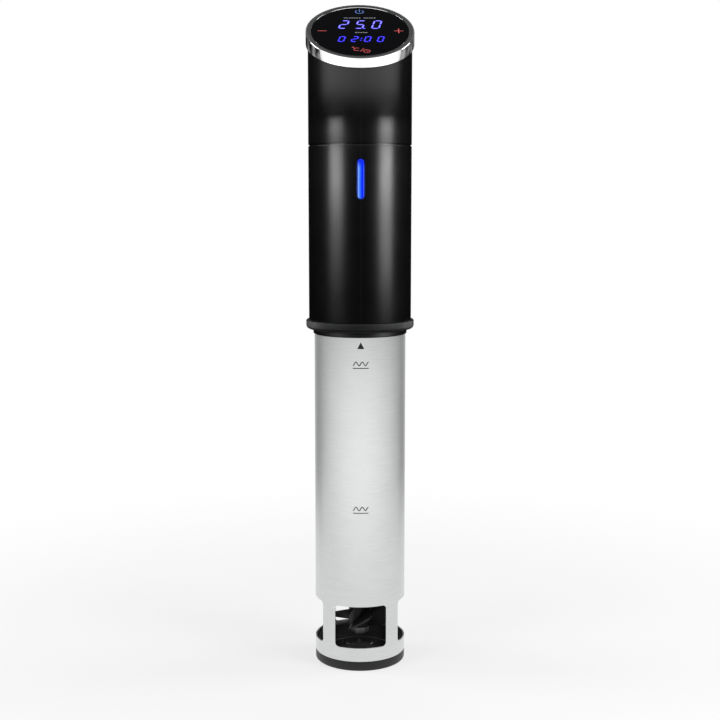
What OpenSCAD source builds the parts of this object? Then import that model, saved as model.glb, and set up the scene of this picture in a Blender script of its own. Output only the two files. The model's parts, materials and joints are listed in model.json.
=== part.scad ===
// Sous vide circulator: a stick heater and pump that clamps to the wall of a pot.
// Millimetres, +Z up, front towards -Y. The origin is the centre of the flat foot.

/* [Housing] */
// Outside diameter of the black housing
body_d = 62; // [54:1:76]
// Wall of both housing tubes
housing_wall = 2.4; // [1.8:0.1:3.2]
// Height of the lower housing tube
lower_housing_h = 104.6; // [98:0.2:130]
// Height of the control panel's centre above the seam between the housings
upper_housing_h = 67; // [60:1:90]
// Slope of the control panel
panel_tilt = 31; // [20:1:36]
// Slope of the housing's upper edge, under the bezel
seat_tilt = 28; // [18:1:33]

/* [Bezel and light] */
// How far the bezel stands out past the housing
bezel_overhang = 1.25; // [0.5:0.05:2]
// Width of the bezel's flat face
bezel_face_w = 3.2; // [2.4:0.1:4.5]
// Height of the bezel's wall at its middle
bezel_h = 7.7; // [6.6:0.1:10]
// Thickness of the control panel window
window_t = 2; // [1.2:0.1:2.4]
// Length of the status light
light_len = 23.5; // [14:0.5:30]
// Width of the status light
light_w = 4.7; // [3:0.1:7]

/* [Sleeve] */
// How far the sleeve is set in from the housing's outside
sleeve_inset = 3.25; // [2.6:0.05:4]
// Sheet thickness of the sleeve
sleeve_wall = 0.8; // [0.5:0.1:1.2]
// Length of the sleeve
sleeve_len = 199; // [160:1:250]
// Height of the water windows
window_h = 26; // [16:1:34]
// Angle that each water window spans
window_angle = 68; // [40:1:76]
// Turn that unlocks the sleeve
unlock_turn = 24; // [16:1:32]
// Height of the foot
foot_h = 6; // [4:0.5:9]

/* [Collar] */
// How far the soft collar stands out past the housing
collar_overhang = 1.75; // [1:0.05:3]
// Height of the soft collar
collar_h = 5.4; // [4:0.1:8]

/* [Pump and heater] */
// Diameter of the drive shaft
shaft_d = 6; // [4:0.5:7]
// Diameter of the motor's casing
motor_d = 36; // [30:1:40]
// Length of the motor's casing
motor_len = 46; // [36:1:50]
// Diameter of the pump impeller
impeller_d = 38; // [26:1:40]
// Diameter of the heater's tube
heater_d = 6.35; // [5:0.05:7]
// Height of the heater's bends above the foot
heater_foot_gap = 60; // [52:1:90]

/* [Clamp] */
// Width of the clamp
clamp_w = 28; // [22:1:34]
// Gap between the pads at rest
jaw_gap = 7; // [5:0.5:10]
// How much further the clamp opens
jaw_open = 9; // [6:0.5:14]
// Diameter of the clamp screw
screw_d = 8; // [6:0.5:10]
// Diameter of the clamp's knob
knob_d = 27; // [20:1:32]
// Bore of the cord gland
cord_bore_d = 7.2; // [6:0.1:8]

/* [Hidden] */
$fn = 96;

// Clearances
fit_gap = 0.1;      // between pieces that are fixed to each other
run_gap = 0.05;     // radial, between a shaft and its bush
slide_gap = 0.3;    // between the sleeve and the neck
end_gap = 0.5;      // left at the end of a travel
cut = 1;            // how far a cutting body runs past what it cuts
far = 200;          // larger than the object is wide

// Radii of the casings
body_r = body_d / 2;
bore_r = body_r - housing_wall;
bezel_r = body_r + bezel_overhang;
window_r = bezel_r - bezel_face_w;
skirt_t = 2;
skirt_r = bore_r - fit_gap;
skirt_in_r = skirt_r - skirt_t;
collar_r = body_r + collar_overhang;
collar_seat_r = body_r - 1;
sleeve_r = body_r - sleeve_inset;
sleeve_in_r = sleeve_r - sleeve_wall;
spigot_r = sleeve_in_r - slide_gap;
spigot_t = 2.6;
neck_bore_r = spigot_r - spigot_t;
lip_r = sleeve_r + 0.65;
plate_r = neck_bore_r + 1.25;
pocket_r = plate_r + fit_gap;

// Heights, from the foot upwards
plug_h = 7;
sleeve_z0 = foot_h;
sleeve_z1 = sleeve_z0 + sleeve_len;
water_window_z0 = sleeve_z0 + plug_h + 1.5;
lip_h = 3;
collar_z0 = sleeve_z1 + lip_h;
collar_z1 = collar_z0 + collar_h;
ledge_z = collar_z0 - 1;
plate_z0 = collar_z0;
plate_t = 2;
plate_z1 = plate_z0 + plate_t;
circlip_t = 1.2;
neck_top_z = collar_z1 + 12;
seam_z = collar_z1 + lower_housing_h;
panel_z = seam_z + upper_housing_h;
seat_z = panel_z - bezel_h;

// Motor stack
bracket_t = 2;
motor_z0 = neck_top_z + bracket_t;
motor_z1 = motor_z0 + motor_len;
motor_r = motor_d / 2;
can_wall = 1.5;
can_end = 2;
bearing_h = 5;
bearing_r = 7;
fan_z0 = motor_z1 + 2;
fan_h = 6;
carrier_z0 = max(collar_z1 + 66, fan_z0 + 1);
carrier_t = 4;
carrier_r = bore_r - fit_gap - 0.1;
carrier_in_r = bore_r - 5.4;
carrier_screw_r = 1;
carrier_screw_ring = bore_r - 2.4;
shaft_r = shaft_d / 2;
shaft_hole_r = shaft_r + run_gap;

// Neck details
boss_r = 2.9;
boss_ring_r = bore_r - 4;
boss_screw_r = 1.5;
pin_r = 1.8;
pin_in = 1.5;
pin_z = sleeve_z1 - 7;
groove_r = spigot_r - 1.5;
groove_play = 0.4;
lead_in = 1;
neck_spigot_h = 13;
pins = 3;
pin_angle = 60;

// Upper spigot that joins the two housings
joint_h = 5.7;
joint_t = 2.2;
seal_groove = 1.2;
seal_w = 1.6;
seal_z = seam_z - 3.8;
seam_gap = 0.6;
seam_depth = 0.9;

// Light
lens_flange = 2;
light_z = seam_z - joint_h - 0.9 - lens_flange - light_len / 2;
light_board_w = 9;
light_board_t = 1.6;
light_board_len = light_len + 4.5;
lens_flange_r = bore_r - 1.6;
light_board_y = -(lens_flange_r - 1.6);

// Display stack, as depths under the panel's face
window_recess = 0.25;
display_z = 2.4;
board_t = 1.6;
board_depth = 7.4;
bracket_depth = board_depth + board_t + fit_gap / 2;
display_board_r = skirt_in_r - 2.6;
touch_ring_x = 19.5;
touch_ring_y = 20.5;

// Power board
power_board_w = 2 * (boss_ring_r - 3.2);
power_board_h = 56;
power_board_y = 8;
power_board_z0 = carrier_z0 + carrier_t + 4;
rail_h = 60;
terminal_block_w = 28;
terminal_block_z = 6;
vent_w = 1.8;
vent_h = 10;
vent_pitch = 3.6;
vents = 6;
vent_z = seam_z + 7;

// Gland
gland_z = seam_z + 24;
gland_r = 5;
gland_flange_r = 7.5;
gland_flange_t = 3;
gland_nose = 4;
gland_nut_r = gland_r + 2.4;
gland_nut_t = 2.9;
gland_nut_back = sqrt(bore_r * bore_r - gland_nut_r * gland_nut_r) - fit_gap; // its rim meets the curved wall
cord_r = cord_bore_d / 2;

// Heater and probes
heater_r = heater_d / 2;
guide_r = shaft_r + 3;
guide_wall = 0.9;
guide_z0 = heater_foot_gap - 14;
bush_h = 10;
leg_x = 8.5;
leg_y = guide_r + heater_r + 1.8;
leg_top_z = plate_z1 + 5;
bend_z = heater_foot_gap + heater_r + leg_x;
terminal_r = 1.2;
terminal_h = 6;
probe_r = 2.5;
level_r = 1.5;
probe_ring_r = neck_bore_r - probe_r - 1.5;
probe_z0 = heater_foot_gap + 10;
level_z0 = heater_foot_gap + 35;
level_angle = 14;
seal_r = guide_r + 2;
seal_h = 5.5;
guide_flange_r = guide_r + 2.5;
guide_flange_t = 1.5;
lead_r = 1.2;
lead_ring_r = motor_r + lead_r + 2.4;

// Pump
impeller_z0 = water_window_z0 + 5.5;
impeller_h = 14;
impeller_r = min(impeller_d / 2, sleeve_in_r - 4);
blades = 4;
nut_h = 4;
shaft_z0 = impeller_z0 - nut_h - 1;
fan_r = motor_r + 1;
fan_blades = 7;

// Clamp, along +Y behind the housing
saddle_t = 3.5;
saddle_y = body_r + saddle_t;
pad_t = 1.8;
pad_y = saddle_y + pad_t;
jaw_y = pad_y + jaw_gap;
jaw_plate_y = jaw_y + pad_t;
jaw_plate_t = 3;
jaw_boss_y = jaw_plate_y + jaw_plate_t + 3.5;
jaw_close = jaw_gap - 0.4;
leg_front_y = jaw_boss_y + end_gap + jaw_open;
leg_t = 7;
leg_back_y = leg_front_y + leg_t;
knob_y = leg_back_y + end_gap + jaw_close;
knob_t = 12;
clamp_z0 = collar_z1 + 2;
bridge_z = collar_z1 + 40.6;
bridge_t = 12;
clamp_z1 = bridge_z + bridge_t;
pad_w = clamp_w - 6;
pad_z0 = collar_z1 + 6;
pad_z1 = collar_z1 + 33;
screw_z = (pad_z0 + pad_z1) / 2;
screw_r = screw_d / 2;
screw_hole_r = screw_r + run_gap;
insert_r = screw_r + 2.5;
screw_head_r = screw_r + 1.5;
screw_head_t = 2;
head_play = 0.2;
jaw_boss_r = screw_r + 3;
tongue_w = 5.6;
tongue_h = 1.6;
frame_screw_z = [clamp_z0 + 21, clamp_z1 - 9];
frame_screw_r = 1.6;

// ---- Shared shapes ----

module tube(r_out, r_in, z0, z1) {
    translate([0, 0, z0]) difference() {
        cylinder(r = r_out, h = z1 - z0);
        translate([0, 0, -cut]) cylinder(r = r_in, h = z1 - z0 + 2 * cut);
    }
}

module disc(r, z0, z1) {
    translate([0, 0, z0]) cylinder(r = r, h = z1 - z0);
}

module block(x0, x1, y0, y1, z0, z1) {
    translate([x0, y0, z0]) cube([x1 - x0, y1 - y0, z1 - z0]);
}

// A cylinder whose axis runs along +Y, at height z
module rod_y(r, y0, y1, z, x = 0) {
    translate([x, y0, z]) rotate([-90, 0, 0]) cylinder(r = r, h = y1 - y0);
}

// A round bar between two points
module rod(a, b, r) {
    v = b - a;
    len = norm(v);
    translate(a) rotate([0, acos(v[2] / len), atan2(v[1], v[0])]) cylinder(r = r, h = len, $fn = 24);
}

// A square ring of height z1 - z0 with rounded corners, turned about Z
module round_ring(r_in, r_out, z0, z1, corner) {
    rotate_extrude() {
        translate([r_in, z0 + corner]) square([r_out - r_in, z1 - z0 - 2 * corner]);
        translate([r_in + corner, z0]) square([r_out - r_in - 2 * corner, z1 - z0]);
        for (x = [r_in + corner, r_out - corner], z = [z0 + corner, z1 - corner])
            translate([x, z]) circle(corner, $fn = 32);
    }
}

// A sector of a ring, from angle a0 to a1
module sector(r_in, r_out, z0, z1, a0, a1) {
    translate([0, 0, z0]) rotate([0, 0, a0]) rotate_extrude(angle = a1 - a0)
        translate([r_in, 0]) square([r_out - r_in, z1 - z0]);
}

// A slot shape standing up in the XZ plane, run along Y
module slot_y(w, len, y0, y1, z) {
    translate([0, y1, z]) rotate([90, 0, 0]) linear_extrude(y1 - y0) {
        square([w, len - w], center = true);
        for (s = [-1, 1]) translate([0, s * (len - w) / 2]) circle(w / 2, $fn = 48);
    }
}

// Everything above a plane that slopes up to the back and crosses the axis at height z
module above(z, tilt) {
    translate([0, 0, z]) rotate([tilt, 0, 0]) translate([-far, -far, 0]) cube([2 * far, 2 * far, far]);
}

module below(z, tilt) {
    translate([0, 0, z]) rotate([tilt, 0, 0]) translate([-far, -far, -far]) cube([2 * far, 2 * far, far]);
}

// Children drawn in a plane parallel to the panel, at a depth under its face and centred on the axis
module on_panel(depth) {
    translate([0, 0, panel_z - depth / cos(panel_tilt)]) rotate([panel_tilt, 0, 0]) children();
}

// A disc parallel to the panel whose edge follows an upright cylinder
module panel_slice(r, depth, t) {
    intersection() {
        disc(r, panel_z - bezel_h - far / 2, panel_z + far / 2);
        on_panel(depth + t) translate([-far / 2, -far / 2, 0]) cube([far, far, t]);
    }
}

// A screw with a round head at the top and its shank pointing down
module screw(r, len, head_r, head_h) {
    cylinder(r = head_r, h = head_h, $fn = 32);
    translate([0, 0, -len]) cylinder(r = r, h = len, $fn = 32);
}

// ---- Casings ----

module upper_housing() color("#151515") difference() {
    union() {
        tube(body_r, bore_r, seam_z, panel_z + body_r);
        tube(bore_r + 0.2, bore_r - joint_t, seam_z, seam_z + 4);
        tube(bore_r - fit_gap, bore_r - joint_t, seam_z - joint_h, seam_z + 1);
    }
    tube(bore_r + cut, bore_r - seal_groove, seal_z, seal_z + seal_w);
    above(seat_z, seat_tilt);
    for (i = [0:vents - 1])
        translate([(i - (vents - 1) / 2) * vent_pitch, 0, 0])
            slot_y(vent_w, vent_h, 0, body_r + cut, vent_z + vent_h / 2);
    rod_y(gland_r + fit_gap, 0, body_r + cut, gland_z);
}

module lower_housing() color("#151515") difference() {
    union() {
        tube(body_r, bore_r, collar_z1, seam_z);
        tube(bore_r + 0.2, bore_r - 3, carrier_z0 - 3, carrier_z0);
    }
    tube(body_r + cut, body_r - seam_depth, seam_z - seam_gap, seam_z + cut);
    carrier_holes();
    slot_y(light_w + 2 * fit_gap, light_len + 2 * fit_gap, -body_r - cut, -bore_r + 2, light_z);
    for (z = frame_screw_z) rod_y(frame_screw_r + fit_gap, 0, body_r + cut, z);
}

module housing_seal() color("#2a2a2b")
    tube(bore_r, bore_r - seal_groove + 0.05, seal_z + 0.1, seal_z + seal_w - 0.1);

module bezel() color("#d9dadb") union() {
    difference() {
        disc(bezel_r, seam_z, panel_z + body_r);
        above(panel_z, panel_tilt);
        below(seat_z, seat_tilt);
        disc(skirt_in_r, seam_z - cut, panel_z + body_r);
        intersection() {
            disc(window_r + fit_gap, seam_z, panel_z + body_r);
            above(panel_z - (window_t + window_recess) / cos(panel_tilt), panel_tilt);
        }
    }
    difference() {
        tube(skirt_r, skirt_in_r, seam_z, panel_z + body_r);
        above(seat_z + 0.5, seat_tilt);
        below(seat_z - 5, seat_tilt);
    }
}

module panel_window() color("#060607") panel_slice(window_r, window_recess, window_t - fit_gap / 2);

module neck() color("#0f0f10") difference() {
    union() {
        rotate_extrude() polygon([
            [neck_bore_r, sleeve_z1 - neck_spigot_h], [spigot_r, sleeve_z1 - neck_spigot_h],
            [spigot_r, sleeve_z1 + slide_gap], [lip_r, sleeve_z1 + slide_gap],
            [lip_r, collar_z0], [collar_seat_r - fit_gap, collar_z0],
            [collar_seat_r - fit_gap, collar_z1], [bore_r - fit_gap, collar_z1],
            [bore_r - fit_gap, neck_top_z], [pocket_r, neck_top_z],
            [pocket_r, ledge_z], [neck_bore_r, ledge_z]
        ]);
        for (a = [90:120:330]) rotate([0, 0, a]) translate([boss_ring_r, 0, collar_z1])
            cylinder(r = boss_r, h = neck_top_z - collar_z1);
    }
    for (a = [90:120:330]) rotate([0, 0, a]) translate([boss_ring_r, 0, neck_top_z - 9])
        cylinder(r = boss_screw_r + fit_gap, h = 9 + cut);
    for (i = [0:pins - 1]) rotate([0, 0, pin_angle + i * 360 / pins]) bayonet_groove();
}

// A groove that the sleeve's pin turns along, with a slightly wider way out at its unlocked end
module bayonet_groove() {
    side = asin((pin_r + groove_play) / groove_r);
    half_h = pin_r + groove_play;
    sector(groove_r, spigot_r + cut / 2, pin_z - half_h, pin_z + half_h, -side, unlock_turn);
    sector(groove_r - 0.2, spigot_r + cut, sleeve_z1 - neck_spigot_h - cut, pin_z + half_h + groove_play,
        unlock_turn - side - lead_in, unlock_turn + side + lead_in);
}

module collar_ring() color("#3a3b3c") round_ring(collar_seat_r, collar_r, collar_z0, collar_z1, 0.8);

// ---- Display ----

module display_bracket() color("#202122") difference() {
    union() {
        panel_slice(skirt_in_r - fit_gap, bracket_depth, 2);
        for (a = [45:90:315]) on_panel(bracket_depth) rotate([0, 0, a])
            translate([display_board_r + 0.2, -1.5, -1]) cube([1.4, 3, 2.6]);
    }
    on_panel(bracket_depth + 2 + cut) cylinder(r = 12, h = 2 + 2 * cut);
}

module display_board() color("#1f5a36")
    on_panel(board_depth + board_t) cylinder(r = display_board_r, h = board_t);

module display_block(x, y, w, h) color("#0a0a12")
    on_panel(board_depth) translate([x - w / 2, y - h / 2, 0]) cube([w, h, board_depth - display_z]);

module temperature_display() display_block(0, 3.6, 27, 11);

module timer_display() display_block(0, -7.2, 29, 9);

module touch_springs() color("#c8c9cc")
    for (p = [[0, 1], [0, -1], [1, 0], [-1, 0]])
        on_panel(board_depth) translate([p[0] * touch_ring_x, p[1] * min(touch_ring_y, display_board_r - 4), 0])
            difference() {
                cylinder(r = 2.2, h = board_depth - display_z, $fn = 32);
                translate([0, 0, -cut]) cylinder(r = 1.6, h = board_depth, $fn = 32);
            }

// ---- Status light ----

module status_lens() color("#1f4dff") {
    intersection() {
        slot_y(light_w, light_len, -far, 0, light_z);
        tube(body_r + 0.15, bore_r - 0.5, light_z - far / 2, light_z + far / 2);
    }
    intersection() {
        slot_y(light_w + 2 * lens_flange, light_len + 2 * lens_flange, -far, 0, light_z);
        tube(bore_r - fit_gap, lens_flange_r, light_z - far / 2, light_z + far / 2);
    }
}

module status_light_board() color("#e9ecef") {
    block(-light_board_w / 2, light_board_w / 2, light_board_y, light_board_y + light_board_t,
        light_z - light_board_len / 2, light_z + light_board_len / 2);
    for (i = [-1:1]) block(-1.6, 1.6, light_board_y - 1, light_board_y,
        light_z + i * 8 - 1.6, light_z + i * 8 + 1.6);
}

// ---- Electronics ----

module board_carrier() color("#2b2c2e") {
    difference() {
        tube(carrier_r, carrier_in_r, carrier_z0, carrier_z0 + carrier_t);
        block(-light_board_w / 2 - 0.3, light_board_w / 2 + 0.3, -body_r, light_board_y + light_board_t,
            light_z - light_board_len / 2 - 0.3, light_z);
        carrier_holes();
    }
    for (s = [-1, 1]) difference() {
        block(s * power_board_w / 2 - 1.6, s * power_board_w / 2 + 1.6, power_board_y - 2.4,
            power_board_y + light_board_t + 2.4, carrier_z0 + carrier_t - 1, carrier_z0 + carrier_t + rail_h);
        block(-power_board_w / 2 - fit_gap, power_board_w / 2 + fit_gap, power_board_y - fit_gap,
            power_board_y + board_t + fit_gap, power_board_z0 - fit_gap, carrier_z0 + carrier_t + rail_h + cut);
    }
    for (s = [-1, 1]) block(s * (power_board_w / 2) - 1.6, s * (power_board_w / 2) + 1.6, power_board_y - 2.4,
        sqrt(pow(carrier_r - 0.5, 2) - pow(power_board_w / 2 + 1.6, 2)), carrier_z0, carrier_z0 + carrier_t);
    block(-5, 5, light_board_y + light_board_t, light_board_y + light_board_t + 2.2,
        carrier_z0, light_z + light_board_len / 2);
}

module carrier_holes() {
    for (s = [-1, 1]) translate([s * carrier_screw_ring, 0, carrier_z0 - 3.5])
        cylinder(r = carrier_screw_r + fit_gap, h = carrier_t + 6, $fn = 32);
}

module carrier_screws() color("#b8babd")
    for (s = [-1, 1]) translate([s * carrier_screw_ring, 0, carrier_z0 + carrier_t])
        screw(carrier_screw_r, carrier_t + 2.6, 1.9, 1.4);

// A flat ribbon from the power board up to the back of the display board
module display_cable() color("#d8d4c4") intersection() {
    block(-4, 4, power_board_y - 0.6, power_board_y, power_board_z0 + power_board_h - 4, panel_z + body_r);
    below(panel_z - bracket_depth / cos(panel_tilt), panel_tilt);
}

module power_board() color("#1f5a36")
    block(-power_board_w / 2, power_board_w / 2, power_board_y, power_board_y + board_t,
        power_board_z0, power_board_z0 + power_board_h);

// Parts that stand on the board's front: transformer, relay, choke and terminal block
module power_components() color("#d7a33a") {
    front = power_board_y;
    block(-16, 2, front - 14, front, power_board_z0 + 22, power_board_z0 + 38);
    block(6, 16, front - 11, front, power_board_z0 + 20, power_board_z0 + 36);
    rod_y(6, front - 8, front, power_board_z0 + 47, -8);
    block(-terminal_block_w / 2, terminal_block_w / 2, front - 13, front,
        power_board_z0 + terminal_block_z - 4, power_board_z0 + terminal_block_z + 4);
}

module capacitors() color("#26324d")
    for (x = [4, 14]) rod_y(4, power_board_y - 13, power_board_y, power_board_z0 + 47, x);

module heat_sink() color("#b9bcc0") {
    back = power_board_y + board_t;
    block(-13, 13, back, back + 2, power_board_z0 + 12, power_board_z0 + 40);
    for (i = [0:6]) block(-13 + i * 4, -12 + i * 4, back + 1, back + 8, power_board_z0 + 12, power_board_z0 + 40);
}

module buzzer() color("#141414") difference() {
    rod_y(5, power_board_y - 6, power_board_y, power_board_z0 + 15, 0);
    rod_y(1, power_board_y - 7, power_board_y - 5, power_board_z0 + 15, 0);
}

// ---- Cord gland ----

module cord_gland() color("#101011") difference() {
    union() {
        rod_y(gland_r, bore_r - 5, body_r + gland_flange_t, gland_z);
        rod_y(gland_flange_r, body_r + 0.05, body_r + gland_flange_t, gland_z);
        rod_y(gland_r + 0.6, body_r + gland_flange_t - 0.5, body_r + gland_flange_t + gland_nose, gland_z);
    }
    rod_y(cord_r, bore_r - 5 - cut, body_r + gland_flange_t + gland_nose + cut, gland_z);
}

module gland_nut() color("#101011") difference() {
    rod_y(gland_nut_r, gland_nut_back - gland_nut_t, gland_nut_back, gland_z);
    rod_y(gland_r + fit_gap, gland_nut_back - gland_nut_t - cut, gland_nut_back + cut, gland_z);
}

// ---- Motor ----

module motor_bracket() color("#9a9da1") difference() {
    disc(bore_r - fit_gap, neck_top_z, motor_z0);
    translate([0, 0, -cut]) disc(bearing_r - 2, neck_top_z, motor_z0 + 2 * cut);
    for (a = [90:120:330]) rotate([0, 0, a]) translate([boss_ring_r, 0, neck_top_z - cut])
        cylinder(r = boss_screw_r + fit_gap, h = bracket_t + 2 * cut, $fn = 32);
    for (s = [-1, 1]) translate([s * 11, 0, neck_top_z - cut])
        cylinder(r = 1.5 + fit_gap, h = bracket_t + 2 * cut, $fn = 32);
    for (a = [0, 180]) sector(motor_r + 1.4, lead_ring_r + lead_r + 1.2, neck_top_z - cut, motor_z0 + cut,
        a - 22, a + 22);
}

module bracket_screws() color("#b8babd")
    for (a = [90:120:330]) rotate([0, 0, a]) translate([boss_ring_r, 0, motor_z0]) screw(boss_screw_r, 9, 2.6, 1.8);

module motor_can() color("#c2c4c7") difference() {
    disc(motor_r, motor_z0, motor_z1);
    disc(motor_r - can_wall, motor_z0 + can_end, motor_z1 - can_end);
    disc(bearing_r, motor_z0 - cut, motor_z1 + cut);
    for (s = [-1, 1]) translate([s * 11, 0, motor_z0 - cut]) cylinder(r = 1.5 + fit_gap, h = can_end + 2 * cut, $fn = 32);
}

module motor_stator() color("#a35b2c") difference() {
    disc(motor_r - can_wall, motor_z0 + bearing_h + 3, motor_z1 - bearing_h - 3);
    disc(motor_r - 6, motor_z0, motor_z1);
    for (a = [0:60:300]) rotate([0, 0, a])
        block(motor_r - 7, motor_r - 3.5, -1.5, 1.5, motor_z0, motor_z1);
}

module bearing(z) {
    tube(bearing_r, bearing_r - 1.6, z, z + bearing_h);
    tube(shaft_r + 1.8, shaft_hole_r, z, z + bearing_h);
    tube(bearing_r - 1.6, shaft_r + 1.8, z + 1, z + bearing_h - 1);
}

module upper_bearing() color("#d5d6d8") bearing(motor_z1 - bearing_h);

module lower_bearing() color("#d5d6d8") bearing(motor_z0);

module motor_screws() color("#b8babd")
    for (s = [-1, 1]) translate([s * 11, 0, neck_top_z]) mirror([0, 0, 1]) screw(1.5, bracket_t + can_end, 2.6, 1.6);

// ---- Plate, tube, heater and probes ----

module heater_legs() {
    for (x = [-leg_x, leg_x], y = [-leg_y, leg_y]) translate([x, y, 0]) children();
}

module probe_at(angle) rotate([0, 0, angle]) translate([probe_ring_r, 0, 0]) children();

module base_plate() color("#cfd1d3") difference() {
    disc(plate_r, plate_z0, plate_z1);
    disc(guide_r + fit_gap, plate_z0 - cut, plate_z1 + cut);
    heater_legs() disc(heater_r + fit_gap, plate_z0 - cut, plate_z1 + cut);
    probe_at(180) disc(probe_r + fit_gap, plate_z0 - cut, plate_z1 + cut);
    for (a = [-level_angle, level_angle]) probe_at(a) disc(level_r + 1, plate_z0 - cut, plate_z1 + cut);
}

module plate_gasket() color("#b64a35") tube(plate_r, neck_bore_r + fit_gap, ledge_z, plate_z0);

module plate_circlip() color("#8d9093")
    sector(plate_r - 1.4, plate_r + fit_gap / 2, plate_z1, plate_z1 + circlip_t, 20, 340);

module guide_tube() color("#d8dadc") {
    tube(guide_r, guide_r - guide_wall, guide_z0, plate_z1 + guide_flange_t);
    tube(guide_flange_r, guide_r - 0.2, plate_z1, plate_z1 + guide_flange_t);
}

module shaft_bush() color("#f1efe8")
    tube(guide_r - guide_wall, shaft_hole_r, guide_z0, guide_z0 + bush_h);

module shaft_seal() color("#1b1b1c") {
    z = plate_z1 + guide_flange_t;
    tube(seal_r, seal_r - 1.5, z, z + seal_h);
    tube(seal_r, shaft_hole_r, z + seal_h - 1.5, z + seal_h);
}

module heater() color("#c9cbce") {
    heater_legs() disc(heater_r, bend_z, leg_top_z);
    for (y = [-leg_y, leg_y]) translate([0, y, bend_z]) rotate([90, 0, 0]) rotate([0, 0, 180])
        rotate_extrude(angle = 180) translate([leg_x, 0]) circle(heater_r, $fn = 48);
}

module heater_terminals() color("#c0a15a") heater_legs() {
    disc(terminal_r, leg_top_z, leg_top_z + terminal_h);
    disc(heater_r - 0.6, leg_top_z, leg_top_z + 1.5);
}

// Each lead climbs beside the motor from a heater terminal to the power board
module heater_leads() color("#8f2020")
    for (x = [-1, 1], y = [-1, 1]) {
        low = [x * leg_x, y * leg_y, leg_top_z + terminal_h + lead_r];
        a = y * 6 - 2;
        foot = [x * lead_ring_r * cos(a), lead_ring_r * sin(a), neck_top_z - 1.5];
        top = [foot[0], foot[1], power_board_z0 + terminal_block_z];
        rod(low, foot, lead_r);
        rod(foot, top, lead_r);
        rod(top, [x * terminal_block_w / 2, top[1], top[2]], lead_r);
        for (p = [low, foot, top]) translate(p) sphere(lead_r + 0.1, $fn = 24);
    }

module temperature_probe() color("#dcdee0") probe_at(180) {
    disc(probe_r, probe_z0 + probe_r, plate_z1 + 4);
    translate([0, 0, probe_z0 + probe_r]) sphere(probe_r, $fn = 48);
}

module level_probes() color("#dcdee0")
    for (a = [-level_angle, level_angle]) probe_at(a) disc(level_r, level_z0, plate_z1 + 6);

module probe_insulators() color("#f4f2ea")
    for (a = [-level_angle, level_angle]) probe_at(a)
        tube(level_r + 0.95, level_r + 0.02, plate_z0 - 6, plate_z1 + 3);

// ---- Pump and rotor ----

module drive_shaft() color("#dfe1e3") {
    disc(shaft_r, shaft_z0, fan_z0 + fan_h + 2);
}

module motor_rotor() color("#6d6f72") {
    tube(motor_r - 7, shaft_r, motor_z0 + bearing_h + 5, motor_z1 - bearing_h - 5);
}

module cooling_fan() color("#33363a") {
    tube(6, shaft_r, fan_z0, fan_z0 + fan_h);
    for (i = [0:fan_blades - 1]) rotate([0, 0, i * 360 / fan_blades]) intersection() {
        translate([5, 0, fan_z0 + fan_h / 2]) rotate([32, 0, 0]) translate([0, -3.2, -0.6]) cube([fan_r, 6.4, 1.2]);
        tube(fan_r, 5, fan_z0, fan_z0 + fan_h);
    }
}

module impeller() color("#2a2b2d") {
    tube(7, shaft_r, impeller_z0, impeller_z0 + impeller_h);
    for (i = [0:blades - 1]) rotate([0, 0, i * 360 / blades]) intersection() {
        translate([6, 0, impeller_z0 + impeller_h / 2]) rotate([38, 0, 0])
            translate([0, -9, -0.9]) cube([impeller_r, 18, 1.8]);
        tube(impeller_r, 6, impeller_z0, impeller_z0 + impeller_h);
    }
}

module impeller_nut() color("#cfd1d3") difference() {
    translate([0, 0, impeller_z0 - nut_h]) cylinder(r = shaft_r + 2.6, h = nut_h, $fn = 6);
    disc(shaft_r, impeller_z0 - nut_h - cut, impeller_z0 + cut);
}

// ---- Sleeve ----

module sleeve() color("#c4c6c8") {
    difference() {
        tube(sleeve_r, sleeve_in_r, sleeve_z0, sleeve_z1);
        for (a = [0:90:270]) sector(sleeve_in_r - cut, sleeve_r + cut, water_window_z0, water_window_z0 + window_h,
            a - window_angle / 2, a + window_angle / 2);
    }
    for (i = [0:pins - 1]) rotate([0, 0, pin_angle + i * 360 / pins]) translate([sleeve_in_r - pin_in, 0, pin_z])
        rotate([0, 90, 0]) cylinder(r = pin_r, h = pin_in + sleeve_wall / 2, $fn = 32);
}

module bottom_cap() color("#101011") difference() {
    union() {
        rotate_extrude() {
            translate([0, 1.2]) square([sleeve_r, foot_h - 1.2]);
            square([sleeve_r - 1.2, foot_h]);
            translate([sleeve_r - 1.2, 1.2]) circle(1.2, $fn = 32);
        }
        tube(sleeve_in_r - fit_gap, sleeve_in_r - 2.6, foot_h - 1, foot_h + plug_h);
    }
    tube(sleeve_in_r - 2.6, 8, 3, foot_h + 0.01);
    for (a = [0:30:330]) rotate([0, 0, a]) translate([0, 0, -cut]) linear_extrude(3 + 2 * cut) {
        translate([11, -1.2]) square([sleeve_in_r - 17, 2.4]);
        for (x = [11, sleeve_in_r - 6]) translate([x, 0]) circle(1.2, $fn = 24);
    }
}

// ---- Clamp ----

module clamp_frame() color("#151516") difference() {
    union() {
        block(-clamp_w / 2, clamp_w / 2, body_r - 6, saddle_y, clamp_z0, clamp_z1);
        block(-clamp_w / 2, clamp_w / 2, saddle_y - 1, leg_back_y, bridge_z, clamp_z1);
        block(-clamp_w / 2, clamp_w / 2, leg_front_y, leg_back_y, screw_z, clamp_z1);
        rod_y(clamp_w / 2, leg_front_y, leg_back_y, screw_z);
    }
    disc(body_r + 0.05, clamp_z0 - cut, clamp_z1 + cut);
    rod_y(insert_r + fit_gap, leg_front_y - cut, leg_back_y + cut, screw_z);
    block(-tongue_w / 2 - 0.2, tongue_w / 2 + 0.2, jaw_plate_y - jaw_close - end_gap,
        jaw_plate_y + jaw_plate_t + jaw_open + end_gap, bridge_z - cut, bridge_z + tongue_h + 0.4);
    for (z = frame_screw_z) rod_y(1.6, body_r - 6, saddle_y - 0.7, z);
}

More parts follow.
